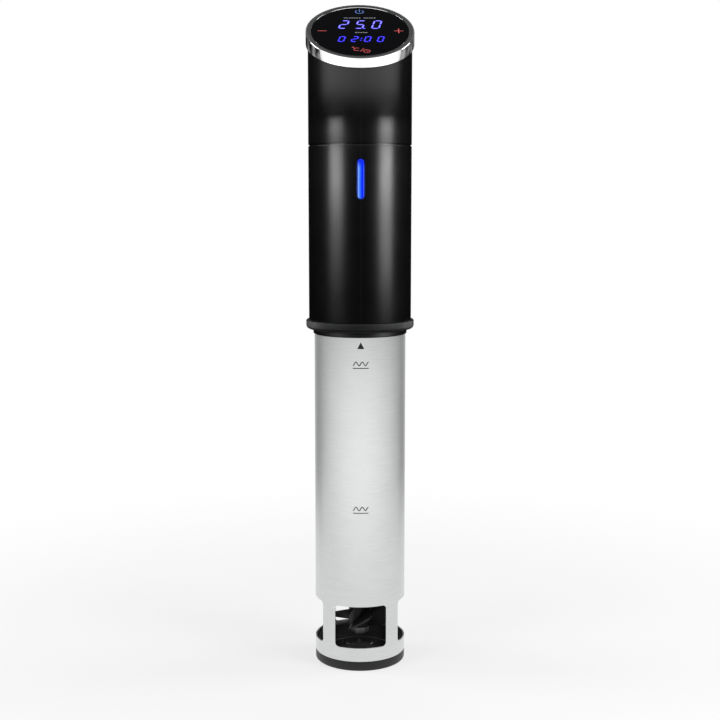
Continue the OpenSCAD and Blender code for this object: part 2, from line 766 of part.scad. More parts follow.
module clamp_frame_screws() color("#b8babd")
    for (z = frame_screw_z) translate([0, bore_r - 0.3, z]) rotate([90, 0, 0])
        screw(1.5, saddle_y - 0.8 - (bore_r - 0.3), 2.9, 2.2);

module clamp_insert() color("#c8a04e") difference() {
    rod_y(insert_r, leg_front_y, leg_back_y, screw_z);
    rod_y(screw_hole_r, leg_front_y - cut, leg_back_y + cut, screw_z);
}

module pad(y) block(-pad_w / 2, pad_w / 2, y, y + pad_t, pad_z0, pad_z1);

module fixed_pad() color("#4a4b4d") pad(saddle_y);

module jaw_pad() color("#4a4b4d") pad(jaw_y);

module jaw_plate() color("#19191a") difference() {
    union() {
        block(-pad_w / 2, pad_w / 2, jaw_plate_y, jaw_plate_y + jaw_plate_t, pad_z0, bridge_z - end_gap);
        block(-tongue_w / 2, tongue_w / 2, jaw_plate_y, jaw_plate_y + jaw_plate_t, pad_z1, bridge_z + tongue_h);
        rod_y(jaw_boss_r, jaw_plate_y, jaw_boss_y, screw_z);
    }
    rod_y(screw_head_r + head_play, jaw_plate_y - cut, jaw_plate_y + screw_head_t + 2 * head_play, screw_z);
    rod_y(screw_hole_r, jaw_plate_y, jaw_boss_y + cut, screw_z);
}

module clamp_screw() color("#c2c4c7") {
    rod_y(screw_head_r, jaw_plate_y + head_play, jaw_plate_y + head_play + screw_head_t, screw_z);
    rod_y(screw_r, jaw_plate_y + head_play, knob_y + knob_t - 3, screw_z);
}

module clamp_knob() color("#151516") difference() {
    union() {
        rod_y(knob_d / 2 - 2, knob_y, knob_y + knob_t, screw_z);
        for (a = [0:30:330]) translate([0, knob_y, screw_z]) rotate([-90, 0, 0]) rotate([0, 0, a])
            translate([knob_d / 2 - 2.4, 0, 0]) cylinder(r = 2.4, h = knob_t, $fn = 32);
    }
    rod_y(screw_r, knob_y - cut, knob_y + knob_t - 3, screw_z);
}

upper_housing();
lower_housing();
housing_seal();
bezel();
panel_window();
display_bracket();
display_board();
temperature_display();
timer_display();
touch_springs();
status_lens();
status_light_board();
board_carrier();
carrier_screws();
power_board();
power_components();
capacitors();
heat_sink();
buzzer();
display_cable();
cord_gland();
gland_nut();
motor_bracket();
bracket_screws();
motor_can();
motor_stator();
upper_bearing();
lower_bearing();
motor_screws();
neck();
collar_ring();
base_plate();
plate_gasket();
plate_circlip();
guide_tube();
shaft_seal();
shaft_bush();
heater();
heater_terminals();
heater_leads();
temperature_probe();
level_probes();
probe_insulators();
clamp_frame();
clamp_frame_screws();
clamp_insert();
fixed_pad();
drive_shaft();
motor_rotor();
cooling_fan();
impeller();
impeller_nut();
sleeve();
bottom_cap();
jaw_plate();
jaw_pad();
clamp_screw();
clamp_knob();
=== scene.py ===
"""Looks of a sous vide circulator, laid out as a Blender add-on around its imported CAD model."""

import json
import math

import bmesh
import bpy
from bpy.props import FloatProperty, IntProperty, PointerProperty, StringProperty
from mathutils import Matrix, Vector


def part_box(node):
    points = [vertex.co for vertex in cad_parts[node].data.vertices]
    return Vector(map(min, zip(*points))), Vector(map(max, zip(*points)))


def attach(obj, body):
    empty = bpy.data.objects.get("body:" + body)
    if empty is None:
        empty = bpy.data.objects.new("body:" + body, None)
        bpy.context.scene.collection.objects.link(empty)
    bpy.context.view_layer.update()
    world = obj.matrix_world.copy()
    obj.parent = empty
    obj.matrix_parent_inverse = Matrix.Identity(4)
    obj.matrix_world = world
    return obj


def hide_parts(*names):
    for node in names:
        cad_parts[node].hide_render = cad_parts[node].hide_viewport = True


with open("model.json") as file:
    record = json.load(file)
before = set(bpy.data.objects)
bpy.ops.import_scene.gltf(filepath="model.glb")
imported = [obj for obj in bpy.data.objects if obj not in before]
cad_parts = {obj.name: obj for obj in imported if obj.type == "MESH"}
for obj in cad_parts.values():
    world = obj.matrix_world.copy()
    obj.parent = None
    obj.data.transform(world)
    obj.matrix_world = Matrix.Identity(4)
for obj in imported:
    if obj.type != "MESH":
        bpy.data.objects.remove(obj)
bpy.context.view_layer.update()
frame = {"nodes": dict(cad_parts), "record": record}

bl_info = {
    "name": "Sous Vide Circulator",
    "version": (1, 0, 0),
    "blender": (4, 5, 0),
    "location": "3D View > Sidebar > Circulator",
    "description": "Builds the circulator's visible pieces and finishes around its frame",
    "category": "Add Mesh",
}

MM = 0.001
FIT = 0.1 * MM  # gap between pieces that push into each other
SHARP = 0.01 * MM  # rim radius of a shape that only cuts
LENS_FLANGE = 4 * MM  # how much wider and taller the status lens is behind the housing's wall
TONGUE = 1.6 * MM  # how far the jaw's tongue reaches into the clamp's bridge
HOUSING, ROTOR, SLEEVE = "housing", "rotor", "sleeve_body"
JAW, SCREW = "jaw", "screw_body"


def low(node):
    """The least corner of a CAD node's box."""
    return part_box(node)[0]


def high(node):
    """The greatest corner of a CAD node's box."""
    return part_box(node)[1]


def middle_of(node):
    """The middle of a CAD node's box."""
    return (low(node) + high(node)) / 2


# ---------------------------------------------------------------- sizes


def length(name, description, default):
    """A size in metres, shown in the scene's units."""
    return FloatProperty(name=name, description=description, default=default,
                         subtype="DISTANCE", unit="LENGTH")


def angle(name, description, degrees):
    """An angle given in degrees."""
    return FloatProperty(name=name, description=description, default=math.radians(degrees),
                         subtype="ANGLE", unit="ROTATION")


def amount(name, description, default, least=0.0):
    """A plain number."""
    return FloatProperty(name=name, description=description, default=default, min=least)


def number_of(name, description, default, least):
    """A count of like things."""
    return IntProperty(name=name, description=description, default=default, min=least)


def paint(name, description, default):
    """An sRGB colour as a hex value."""
    return StringProperty(name=name, description=description, default=default, maxlen=7)


class HousingSizes(bpy.types.PropertyGroup):
    wall: length("Wall", "Wall of both housing tubes", 2.4 * MM)
    panel_tilt: angle("Panel tilt", "Slope of the control panel", 31)
    seat_tilt: angle("Seat tilt", "Slope of the housing's upper edge", 28)
    edge: length("Edge", "Radius of the moulded edges", 0.35 * MM)
    seam_gap: length("Seam gap", "Height of the shadow groove between the housings", 0.75 * MM)
    seam_depth: length("Seam depth", "Depth of the shadow groove", 0.6 * MM)
    spigot: length("Spigot", "How far the upper housing reaches into the lower one", 5.7 * MM)
    spigot_wall: length("Spigot wall", "Wall of the upper housing's spigot", 2.2 * MM)
    vent_count: number_of("Vents", "Number of vent slots at the back", 6, 1)
    vent_pitch: length("Vent pitch", "Distance between vent slots", 3.6 * MM)
    vent_width: length("Vent width", "Width of a vent slot", 1.8 * MM)
    vent_height: length("Vent height", "Height of a vent slot", 10 * MM)
    vent_rise: length("Vent rise", "Height of the vents' lower ends above the seam", 7 * MM)


class PanelSizes(bpy.types.PropertyGroup):
    face_width: length("Face width", "Width of the bezel's flat face", 3.2 * MM)
    recess: length("Recess", "How far the window lies under the bezel's face", 0.25 * MM)
    mark: length("Mark height", "How far lit marks stand over the window", 0.04 * MM)
    degrees_height: length("Upper digits", "Height of the temperature's digits", 10.8 * MM)
    timer_height: length("Lower digits", "Height of the timer's digits", 6.8 * MM)
    slant: angle("Slant", "Lean of the digits", 11)


class SleeveSizes(bpy.types.PropertyGroup):
    wall: length("Wall", "Sheet thickness of the sleeve", 0.8 * MM)
    window_height: length("Window height", "Height of a water window", 26 * MM)
    window_angle: angle("Window angle", "Angle that a water window spans", 68)
    window_corner: length("Window corner", "Corner radius of a water window", 2.2 * MM)
    windows: number_of("Windows", "Number of water windows", 4, 2)
    foot_slots: number_of("Foot slots", "Number of slots in the foot", 12, 3)
    slot_width: length("Slot width", "Width of a slot in the foot", 2.4 * MM)


class ClampSizes(bpy.types.PropertyGroup):
    edge: length("Edge", "Radius of the clamp's moulded edges", 1.1 * MM)
    lobes: number_of("Lobes", "Number of grip lobes on the knob", 12, 3)
    lobe_depth: length("Lobe depth", "Depth between the knob's lobes", 1.5 * MM)
    pitch: length("Pitch", "Thread pitch of the clamp screw", 2 * MM)
    thread_depth: length("Thread depth", "Depth of the screw's thread", 0.7 * MM)
    ribs: number_of("Ribs", "Number of grip ribs on a pad", 9, 2)


class Finishes(bpy.types.PropertyGroup):
    housing: paint("Housing", "Moulded black housing", "#0b0b0c")
    collar: paint("Collar", "Soft collar", "#161719")
    window: paint("Window", "Control panel window", "#040405")
    steel: paint("Steel", "Brushed sleeve", "#dadbdb")
    digit: paint("Digits", "Temperature digits at their middle", "#b4adff")
    timer: paint("Timer digits", "Timer digits at their middle", "#6661ff")
    digit_edge: paint("Digit edges", "Lit digits at their edges", "#0a00f0")
    key: paint("Keys", "Lit minus and plus keys", "#f56a6c")
    power: paint("Power key", "Lit power key", "#7fa8ff")
    label: paint("Labels", "Printed lines over the digits", "#8d9096")
    light: paint("Light", "Status light", "#1a52ff")


class StageSizes(bpy.types.PropertyGroup):
    lens: amount("Lens", "Focal length in millimetres", 63.5, 10)
    distance: length("Distance", "Distance from the camera to the axis", 0.771)
    height: length("Height", "Height of the camera", 0.291)
    pitch: angle("Pitch", "How far the camera looks down", 7.6)
    azimuth: angle("Azimuth", "How far the camera stands to the left of the front", 0.9)
    floor: length("Floor", "Radius of the floor", 4.0)
    table: length("Table", "Radius of the table's bounced light", 0.45)
    tent: length("Tent", "Radius of the white tent that the sleeve mirrors", 1.5)
    tent_height: length("Tent height", "Height of the white tent", 0.34)
    table_light: amount("Table light", "Strength of the table's bounced light", 1.0)
    tent_front: amount("Tent front", "Strength of the tent on the camera's side", 1.6)
    tent_sides: amount("Tent sides", "Strength of the tent at its far sides", 0.35)
    card_radius: length("Card radius", "Radius of the cards round the head", 0.092)
    card_reach: angle("Card reach", "How far the cards reach round each side", 78)
    flag: length("Flag", "Height of the black flag's lower edge", 0.334)
    card: length("Card", "Height of the white card's lower edge", 0.352)
    card_light: amount("Card light", "Strength of the white card", 1.9)


def sizes(group):
    """One of the property groups."""
    return getattr(bpy.context.scene, "circulator_" + group)


# ---------------------------------------------------------------- shapes


def eased(corners, steps=5):
    """A closed outline with its corners rounded. A corner is (x, y, radius, extra)."""
    outline = []
    count = len(corners)
    for i, (x, y, radius, *extra) in enumerate(corners):
        here = Vector((x, y))
        before = (Vector(corners[i - 1][:2]) - here).normalized()
        after = (Vector(corners[(i + 1) % count][:2]) - here).normalized()
        half = before.angle(after) / 2
        if radius <= 0 or half < 1e-4 or half > math.pi / 2 - 1e-4:
            outline.append((x, y, *extra))
            continue
        centre = here + (before + after).normalized() * radius / math.sin(half)
        start = here + before * radius / math.tan(half) - centre
        end = here + after * radius / math.tan(half) - centre
        sweep = start.angle_signed(end)
        for step in range(steps + 1):
            spoke = start.copy()
            spoke.rotate(Matrix.Rotation(-sweep * step / steps, 2))
            outline.append((*(centre + spoke), *extra))
    return outline


def turned(outline, steps=144, wave=(0, 0.0)):
    """A closed outline of (radius, height, slope, finish) turned about Z.

    slope lifts a point towards the back, so an edge can follow a sloping plane. wave is the number
    and depth of lobes round the outside, which fade out inwards over the outer third of the radius.
    """
    lobes, depth = wave
    plain = 0.7
    bm = bmesh.new()
    widest = max(point[0] for point in outline)
    rings = []
    for radius, height, *rest in outline:
        slope = rest[0] if rest else 0.0
        if radius < 1e-7:
            rings.append([bm.verts.new((0, 0, height))] * steps)
            continue
        ring = []
        for i in range(steps):
            turn = 2 * math.pi * i / steps
            share = max(0.0, radius / widest - plain) / (1 - plain)
            reach = radius - share * depth * (0.5 - 0.5 * math.cos(lobes * turn))
            x, y = reach * math.cos(turn), reach * math.sin(turn)
            ring.append(bm.verts.new((x, y, height + y * slope)))
        rings.append(ring)
    for j, ring in enumerate(rings):
        following = rings[(j + 1) % len(rings)]
        finish = outline[j][3] if len(outline[j]) > 3 else 0
        for i in range(steps):
            k = (i + 1) % steps
            corners = list(dict.fromkeys((ring[i], ring[k], following[k], following[i])))
            if len(corners) > 2:
                bm.faces.new(corners).material_index = finish
    return bm


def inset(outline, distance):
    """A closed outline drawn inwards by a small distance. The outline runs anticlockwise."""
    points = [Vector(point[:2]) for point in outline]
    count = len(points)
    moved = []
    for i, here in enumerate(points):
        before = (here - points[i - 1]).normalized()
        after = (points[(i + 1) % count] - here).normalized()
        normal = Vector((-before.y - after.y, before.x + after.x))
        normal /= max(normal.length_squared / 2, 0.2)
        moved.append(here + normal * distance)
    return moved


def slab(outline, start, end, edge, steps=3):
    """An anticlockwise outline in XY, run along Z, with its rims rounded."""
    bm = bmesh.new()
    rings = []
    for side, rim in ((1, start), (-1, end)):
        stack = []
        for step in range(steps + 1):
            turn = math.pi / 2 * step / steps
            drawn = inset(outline, edge * (1 - math.sin(turn)))
            z = rim + side * edge * (1 - math.cos(turn))
            stack.append([bm.verts.new((*point, z)) for point in drawn])
        rings += stack if side > 0 else stack[::-1]
    count = len(outline)
    for ring, following in zip(rings, rings[1:]):
        for i in range(count):
            k = (i + 1) % count
            bm.faces.new((ring[i], ring[k], following[k], following[i]))
    bm.faces.new(rings[0][::-1])
    bm.faces.new(rings[-1])
    return bm


def cutter(outline, depth):
    """A sharp-edged slab, for cutting."""
    return slab(outline, 0, depth, SHARP, 1)


def ribbon(points, width, height, taper=1.0, columns=2):
    """A thin raised stroke along flat points, highest and brightest along its middle.

    width may be a number or a list with one width for each point. The layer "glow" runs from 0 at
    the stroke's edges to 1 along its middle.
    """
    bm = bmesh.new()
    glow = bm.verts.layers.float.new("glow")
    points = [Vector(point) for point in points]
    last = len(points) - 1
    widths = width if isinstance(width, (list, tuple)) else [width] * len(points)
    rows = []
    for i, here in enumerate(points):
        along = (points[min(i + 1, last)] - points[max(i - 1, 0)]).normalized()
        across = Vector((-along.y, along.x)) * widths[i] / 2
        if i in (0, last):
            across *= taper
        row = []
        for column in range(columns + 1):
            side = 2 * column / columns - 1
            flat = here + across * side
            vert = bm.verts.new((*flat, height * (1 - 0.5 * side * side)))
            vert[glow] = (1 - abs(side)) * (1 if 0 < i < last else 0.35)
            row.append(vert)
        row += [bm.verts.new((*(here + across), 0)), bm.verts.new((*(here - across), 0))]
        rows.append(row)
    size = columns + 3
    for row, following in zip(rows, rows[1:]):
        for j in range(size):
            k = (j + 1) % size
            bm.faces.new((row[j], following[j], following[k], row[k]))
    bm.faces.new(rows[0])
    bm.faces.new(rows[-1][::-1])
    return bm


def joined(parts):
    """Several shapes as one."""
    whole = bmesh.new()
    for part in parts:
        mesh = bpy.data.meshes.new("part")
        part.to_mesh(mesh)
        part.free()
        whole.from_mesh(mesh)
        bpy.data.meshes.remove(mesh)
    return whole


def placed(bm, matrix):
    """The same shape, moved."""
    bmesh.ops.transform(bm, matrix=matrix, verts=bm.verts)
    return bm


def wrapped(bm, radius):
    """Bends a flat shape round an upright cylinder, with its X = 0 at the front."""
    for vert in bm.verts:
        u, v, h = vert.co
        reach = radius + h
        vert.co = (reach * math.sin(u / radius), -reach * math.cos(u / radius), v)
    return bm


def smoothed(mesh, crease=38):
    """Smooth shading except where the surface turns by more than the crease, in degrees."""
    mesh.shade_smooth()
    mesh.set_sharp_from_angle(angle=math.radians(crease))


def piece(name, bm, finishes, crease=38, merge=True):
    """A named object from a shape, smooth except at its sharp edges, with outward faces."""
    if merge:
        bmesh.ops.remove_doubles(bm, verts=bm.verts, dist=1e-7)
    bmesh.ops.recalc_face_normals(bm, faces=bm.faces)
    mesh = bpy.data.meshes.new(name)
    bm.to_mesh(mesh)
    bm.free()
    for finish in finishes:
        mesh.materials.append(finish)
    smoothed(mesh, crease)
    obj = bpy.data.objects.new(name, mesh)
    bpy.context.scene.collection.objects.link(obj)
    return obj


def tool(bm):
    """A shape used only to cut or to copy, removed once it has been used."""
    return piece("tool", bm, [])


def stadium(width, tall, steps=12):
    """An anticlockwise upright slot with round ends, about the origin."""
    radius, straight = width / 2, (tall - width) / 2
    points = []
    for end, first in ((1, 0.0), (-1, math.pi)):
        for i in range(steps + 1):
            turn = first + math.pi * i / steps
            points.append((radius * math.cos(turn), end * straight + radius * math.sin(turn)))
    return points


def rectangle(width, tall, corner):
    """An anticlockwise rectangle with round corners, about the origin."""
    x, y = width / 2, tall / 2
    return eased([(-x, -y, corner), (x, -y, corner), (x, y, corner), (-x, y, corner)])


def shift(x, y, z):
    """A move, for placed()."""
    return Matrix.Translation((x, y, z))


# turns a shape drawn in XY so that its Y points up and its Z points to the front
UPRIGHT = Matrix.Rotation(math.pi / 2, 4, "X")

# turns a shape drawn about Z so that its Z points to the back
ALONG_Y = Matrix.Rotation(-math.pi / 2, 4, "X")


def cylinder_y(radius, start, end, z, steps=96):
    """A plain cylinder about an axis that runs to the back at height z, for cutting."""
    outline = [(0, 0), (radius, 0), (radius, end - start), (0, end - start)]
    return placed(turned(outline, steps), shift(0, start, z) @ ALONG_Y)


# ---------------------------------------------------------------- node trees


def add(tree, kind, links=None, **settings):
    """One node with its settings. links maps its inputs to values or to other nodes' outputs."""
    node = tree.nodes.new(kind)
    for key, value in settings.items():
        setattr(node, key, value)
    for key, value in (links or {}).items():
        if isinstance(value, bpy.types.NodeSocket):
            tree.links.new(value, node.inputs[key])
        else:
            node.inputs[key].default_value = value
    return node


def shape_tree(name, **inputs):
    """A geometry tree with named inputs. Returns it with its inputs' sockets."""
    tree = bpy.data.node_groups.new(name, "GeometryNodeTree")
    tree.interface.new_socket("Geometry", in_out="INPUT", socket_type="NodeSocketGeometry")
    for label, kind in inputs.items():
        tree.interface.new_socket(label, in_out="INPUT", socket_type="NodeSocket" + kind)
    tree.interface.new_socket("Geometry", in_out="OUTPUT", socket_type="NodeSocketGeometry")
    return tree, add(tree, "NodeGroupInput").outputs


def end_tree(tree, geometry, finish):
    """Every tree ends by realising its copies and setting its finish."""
    real = add(tree, "GeometryNodeRealizeInstances", {"Geometry": geometry})
    made = add(tree, "GeometryNodeSetMaterial", {"Geometry": real.outputs[0], "Material": finish})
    add(tree, "NodeGroupOutput", {"Geometry": made.outputs[0]})


def pattern_tree(name, cuts):
    """Copies of a tool in a row or a ring, cut from the piece or joined to it."""
    tree, given = shape_tree(name, Tool="Object", Count="Int", Step="Vector", Turn="Float",
                             Finish="Material")
    index = add(tree, "GeometryNodeInputIndex").outputs[0]
    place = add(tree, "ShaderNodeVectorMath", {0: given["Step"], 3: index}, operation="SCALE")
    turn = add(tree, "ShaderNodeMath", {0: given["Turn"], 1: index}, operation="MULTIPLY")
    spin = add(tree, "ShaderNodeCombineXYZ", {"Z": turn.outputs[0]})
    points = add(tree, "GeometryNodePoints", {"Count": given["Count"], "Position": place.outputs[0]})
    source = add(tree, "GeometryNodeObjectInfo", {"Object": given["Tool"]})
    copies = add(tree, "GeometryNodeInstanceOnPoints", {
        "Points": points.outputs[0], "Instance": source.outputs["Geometry"], "Rotation": spin.outputs[0]})
    real = add(tree, "GeometryNodeRealizeInstances", {"Geometry": copies.outputs[0]})
    if cuts:
        shape = add(tree, "GeometryNodeMeshBoolean", {
            "Mesh 1": given["Geometry"], "Mesh 2": real.outputs[0]}, operation="DIFFERENCE")
    else:
        shape = add(tree, "GeometryNodeJoinGeometry", {"Geometry": given["Geometry"]})
        tree.links.new(real.outputs[0], shape.inputs["Geometry"])
    end_tree(tree, shape.outputs[0], given["Finish"])
    return tree


def thread_tree():
    """A V-shaped ridge wound round a core along Z."""
    tree, given = shape_tree("Screw thread", Radius="Float", Depth="Float", Pitch="Float",
                             Length="Float", Finish="Material")
    turns = add(tree, "ShaderNodeMath", {0: given["Length"], 1: given["Pitch"]}, operation="DIVIDE")
    crest = add(tree, "ShaderNodeMath", {0: given["Radius"], 1: given["Depth"]}, operation="SUBTRACT")
    coil = add(tree, "GeometryNodeCurveSpiral", {
        "Resolution": 48, "Rotations": turns.outputs[0], "Start Radius": crest.outputs[0],
        "End Radius": crest.outputs[0], "Height": given["Length"]})
    ridge = add(tree, "GeometryNodeCurvePrimitiveCircle", {"Resolution": 4, "Radius": given["Depth"]})
    wound = add(tree, "GeometryNodeCurveToMesh", {
        "Curve": coil.outputs[0], "Profile Curve": ridge.outputs[0], "Fill Caps": True})
    shape = add(tree, "GeometryNodeJoinGeometry", {"Geometry": given["Geometry"]})
    tree.links.new(wound.outputs[0], shape.inputs["Geometry"])
    end_tree(tree, shape.outputs[0], given["Finish"])
    return tree


def baked(obj, modifier):
    """Keeps what a modifier makes as the piece's plain mesh, and removes the modifier."""
    evaluated = obj.evaluated_get(bpy.context.evaluated_depsgraph_get())
    mesh = bpy.data.meshes.new_from_object(evaluated)
    obj.modifiers.remove(modifier)
    obj.data = mesh
    mesh.name = obj.name
    smoothed(mesh)


def grow(obj, tree, **values):
    """Runs a geometry tree on a piece."""
    modifier = obj.modifiers.new("Shape", "NODES")
    modifier.node_group = tree
    for item in tree.interface.items_tree:
        if item.in_out == "INPUT" and item.name in values:
            modifier[item.identifier] = values[item.name]
    baked(obj, modifier)


def pattern(obj, bm, cuts, count, finish, step=(0, 0, 0), turn=0.0):
    """Cuts a row or ring of one shape from a piece, or joins it on."""
    source = tool(bm)
    name = "Pattern cut" if cuts else "Pattern join"
    tree = bpy.data.node_groups.get(name) or pattern_tree(name, cuts)
    grow(obj, tree, Tool=source, Count=count, Step=step, Turn=turn, Finish=finish)
    bpy.data.objects.remove(source)


def trimmed(obj, bm):
    """Cuts one shape from a piece."""
    source = tool(bm)
    modifier = obj.modifiers.new("Trim", "BOOLEAN")
    modifier.operation = "DIFFERENCE"
    modifier.solver = "EXACT"
    modifier.object = source
    baked(obj, modifier)
    bpy.data.objects.remove(source)


# ---------------------------------------------------------------- finishes


def linear(hex_value):
    """A hex sRGB colour as linear RGBA."""
    channels = [int(hex_value[i:i + 2], 16) / 255 for i in (1, 3, 5)]
    return (*(c / 12.92 if c <= 0.04045 else ((c + 0.055) / 1.055) ** 2.4 for c in channels), 1.0)


def per(millimetres):
    """Noise scale for a pattern of this size."""
    return 1 / (millimetres * MM)


def surface(name, **shader):
    """A new finish: its material, tree and shader, with constant values on the shader's own sockets."""
    material = bpy.data.materials.new(name)
    material.use_nodes = True
    tree = material.node_tree
    bsdf = tree.nodes["Principled BSDF"]
    for key, value in shader.items():
        bsdf.inputs[key.replace("_", " ")].default_value = value
    return material, tree, bsdf


def feed(shader, **sources):
    """Links outputs to the shader's inputs of these names."""
    for key, source in sources.items():
        shader.id_data.links.new(source, shader.inputs[key.replace("_", " ")])


def position(tree):
    """Places on the piece itself, for a pattern of a real size."""
    return add(tree, "ShaderNodeTexCoord").outputs["Object"]


def spread(tree, factor, least, most):
    """A number between two values that follows a 0 to 1 factor."""
    return add(tree, "ShaderNodeMapRange", {"Value": factor, "To Min": least, "To Max": most}).outputs[0]


def tinted(tree, factor, dark, light):
    """A colour between two hex values that follows a 0 to 1 factor."""
    mix = add(tree, "ShaderNodeMix", {"Factor": factor}, data_type="RGBA")
    mix.inputs["A"].default_value = linear(dark)
    mix.inputs["B"].default_value = linear(light)
    return mix.outputs["Result"]


def shade(hex_value, factor):
    """The same colour, darker or lighter."""
    channels = [min(255, round(int(hex_value[i:i + 2], 16) * factor)) for i in (1, 3, 5)]
    return "#%02x%02x%02x" % tuple(channels)


def moulded_abs(name, colour, roughness=0.31, seam=False):
    """Injection-moulded ABS from a spark-eroded tool: satin black with a fine, even grain.

    The real grain is about 0.05 mm. It is drawn at 0.3 mm so that it shows as a soft sparkle.
    seam adds the hair-thin parting line of the mould down the front.
    """
    material, tree, bsdf = surface(name, IOR=1.46)
    where = position(tree)
    grain = add(tree, "ShaderNodeTexNoise", {"Vector": where, "Scale": per(0.3), "Detail": 3.0})
    flow = add(tree, "ShaderNodeTexNoise", {"Vector": where, "Scale": per(14), "Detail": 4.0})
    tone = tinted(tree, flow.outputs["Fac"], shade(colour, 0.8), shade(colour, 1.25))
    sheen = spread(tree, flow.outputs["Fac"], roughness - 0.04, roughness + 0.04)
    bump = add(tree, "ShaderNodeBump", {
        "Height": grain.outputs["Fac"], "Strength": 0.12, "Distance": 0.02 * MM})
    if seam:
        parts = add(tree, "ShaderNodeSeparateXYZ", {"Vector": where})
        aside = add(tree, "ShaderNodeMath", {0: parts.outputs["X"]}, operation="ABSOLUTE")
        near = add(tree, "ShaderNodeMapRange", {
            "Value": aside.outputs[0], "From Min": 0.25 * MM, "From Max": 0.1 * MM})
        front = add(tree, "ShaderNodeMath", {0: parts.outputs["Y"], 1: 0.0}, operation="LESS_THAN")
        line = add(tree, "ShaderNodeMath", {0: near.outputs[0], 1: front.outputs[0]}, operation="MULTIPLY")
        # the parting line is drawn a little lighter than the housing
        parting_tone = add(tree, "ShaderNodeMix", {"Factor": line.outputs[0], "A": tone}, data_type="RGBA")
        parting_tone.inputs["B"].default_value = linear("#1b1c1e")
        tone = parting_tone.outputs["Result"]
        bump = add(tree, "ShaderNodeBump", {
            "Height": line.outputs[0], "Normal": bump.outputs[0], "Strength": 0.15, "Distance": 0.03 * MM})
    feed(bsdf, Base_Color=tone, Roughness=sheen, Normal=bump.outputs[0])
    return material


def polished_chrome(name):
    """Bright chrome plate on a moulded ring: a near mirror with a faint orange-peel ripple."""
    material, tree, bsdf = surface(name, Metallic=1.0)
    where = position(tree)
    peel = add(tree, "ShaderNodeTexNoise", {"Vector": where, "Scale": per(2.5), "Detail": 2.0})
    haze = add(tree, "ShaderNodeTexNoise", {"Vector": where, "Scale": per(9), "Detail": 5.0})
    bump = add(tree, "ShaderNodeBump", {
        "Height": peel.outputs["Fac"], "Strength": 0.06, "Distance": 0.03 * MM})
    feed(bsdf, Base_Color=tinted(tree, haze.outputs["Fac"], "#dfe0e2", "#f0f0f1"),
         Roughness=spread(tree, haze.outputs["Fac"], 0.05, 0.11), Normal=bump.outputs[0])
    return material


def satin_chrome(name):
    """Satin chrome on the bezel's flat face: a soft grey sheen that blurs what it reflects."""
    material, tree, bsdf = surface(name, Metallic=1.0)
    where = position(tree)
    grain = add(tree, "ShaderNodeTexNoise", {"Vector": where, "Scale": per(0.35), "Detail": 4.0})
    bump = add(tree, "ShaderNodeBump", {
        "Height": grain.outputs["Fac"], "Strength": 0.08, "Distance": 0.01 * MM})
    feed(bsdf, Base_Color=tinted(tree, grain.outputs["Fac"], "#8f9092", "#a4a5a7"),
         Roughness=spread(tree, grain.outputs["Fac"], 0.24, 0.34), Normal=bump.outputs[0])
    return material


def hard_coated_acrylic(name, colour):
    """Black acrylic window with a hard coat: deep gloss, with the faint smears of a touched panel."""
    material, tree, bsdf = surface(name, IOR=1.49, Coat_Weight=0.6, Coat_Roughness=0.03)
    smear = add(tree, "ShaderNodeTexNoise", {
        "Vector": position(tree), "Scale": per(11), "Detail": 6.0, "Distortion": 1.2})
    feed(bsdf, Base_Color=tinted(tree, smear.outputs["Fac"], colour, shade(colour, 2.2)),
         Roughness=spread(tree, smear.outputs["Fac"], 0.04, 0.16))
    return material


def lit_mark(name, edge, middle, strength):
    """A light-emitting segment behind a diffuser: brightest along its middle, deeper at its edges."""
    material, tree, bsdf = surface(name, Roughness=0.25, Emission_Strength=strength)
    glow = add(tree, "ShaderNodeAttribute", attribute_name="glow")
    mottle = add(tree, "ShaderNodeTexNoise", {"Vector": position(tree), "Scale": per(1.2), "Detail": 1.0})
    uneven = spread(tree, mottle.outputs["Fac"], 0.75, 1.15)
    level = add(tree, "ShaderNodeMath", {0: glow.outputs["Fac"], 1: uneven},
                operation="MULTIPLY", use_clamp=True).outputs[0]
    feed(bsdf, Emission_Color=tinted(tree, level, edge, middle),
         Base_Color=tinted(tree, level, shade(edge, 0.3), shade(edge, 0.5)))
    return material


def printed_ink(name, colour):
    """Pad-printed ink: matt, with tiny thin spots where it takes less."""
    material, tree, bsdf = surface(name, Roughness=0.62)
    thin = add(tree, "ShaderNodeTexNoise", {"Vector": position(tree), "Scale": per(0.5), "Detail": 3.0})
    feed(bsdf, Base_Color=tinted(tree, thin.outputs["Fac"], shade(colour, 0.8), shade(colour, 1.2)))
    return material


# tones across the light pipe, from its left rim (0) to its right one (1): the pipe's own blue glow, with
# painted highlights in the pale bands at 0.13 and 0.94
PIPE_GLOW_AND_HIGHLIGHTS = (
    (0.0, "#1030e8"), (0.13, "#8cb8ff"), (0.3, "#3f7cff"), (0.55, "#1c50ff"), (0.7, "#0828ff"),
    (0.83, "#000cf2"), (0.94, "#5072ff"), (1.0, "#1638f0"))


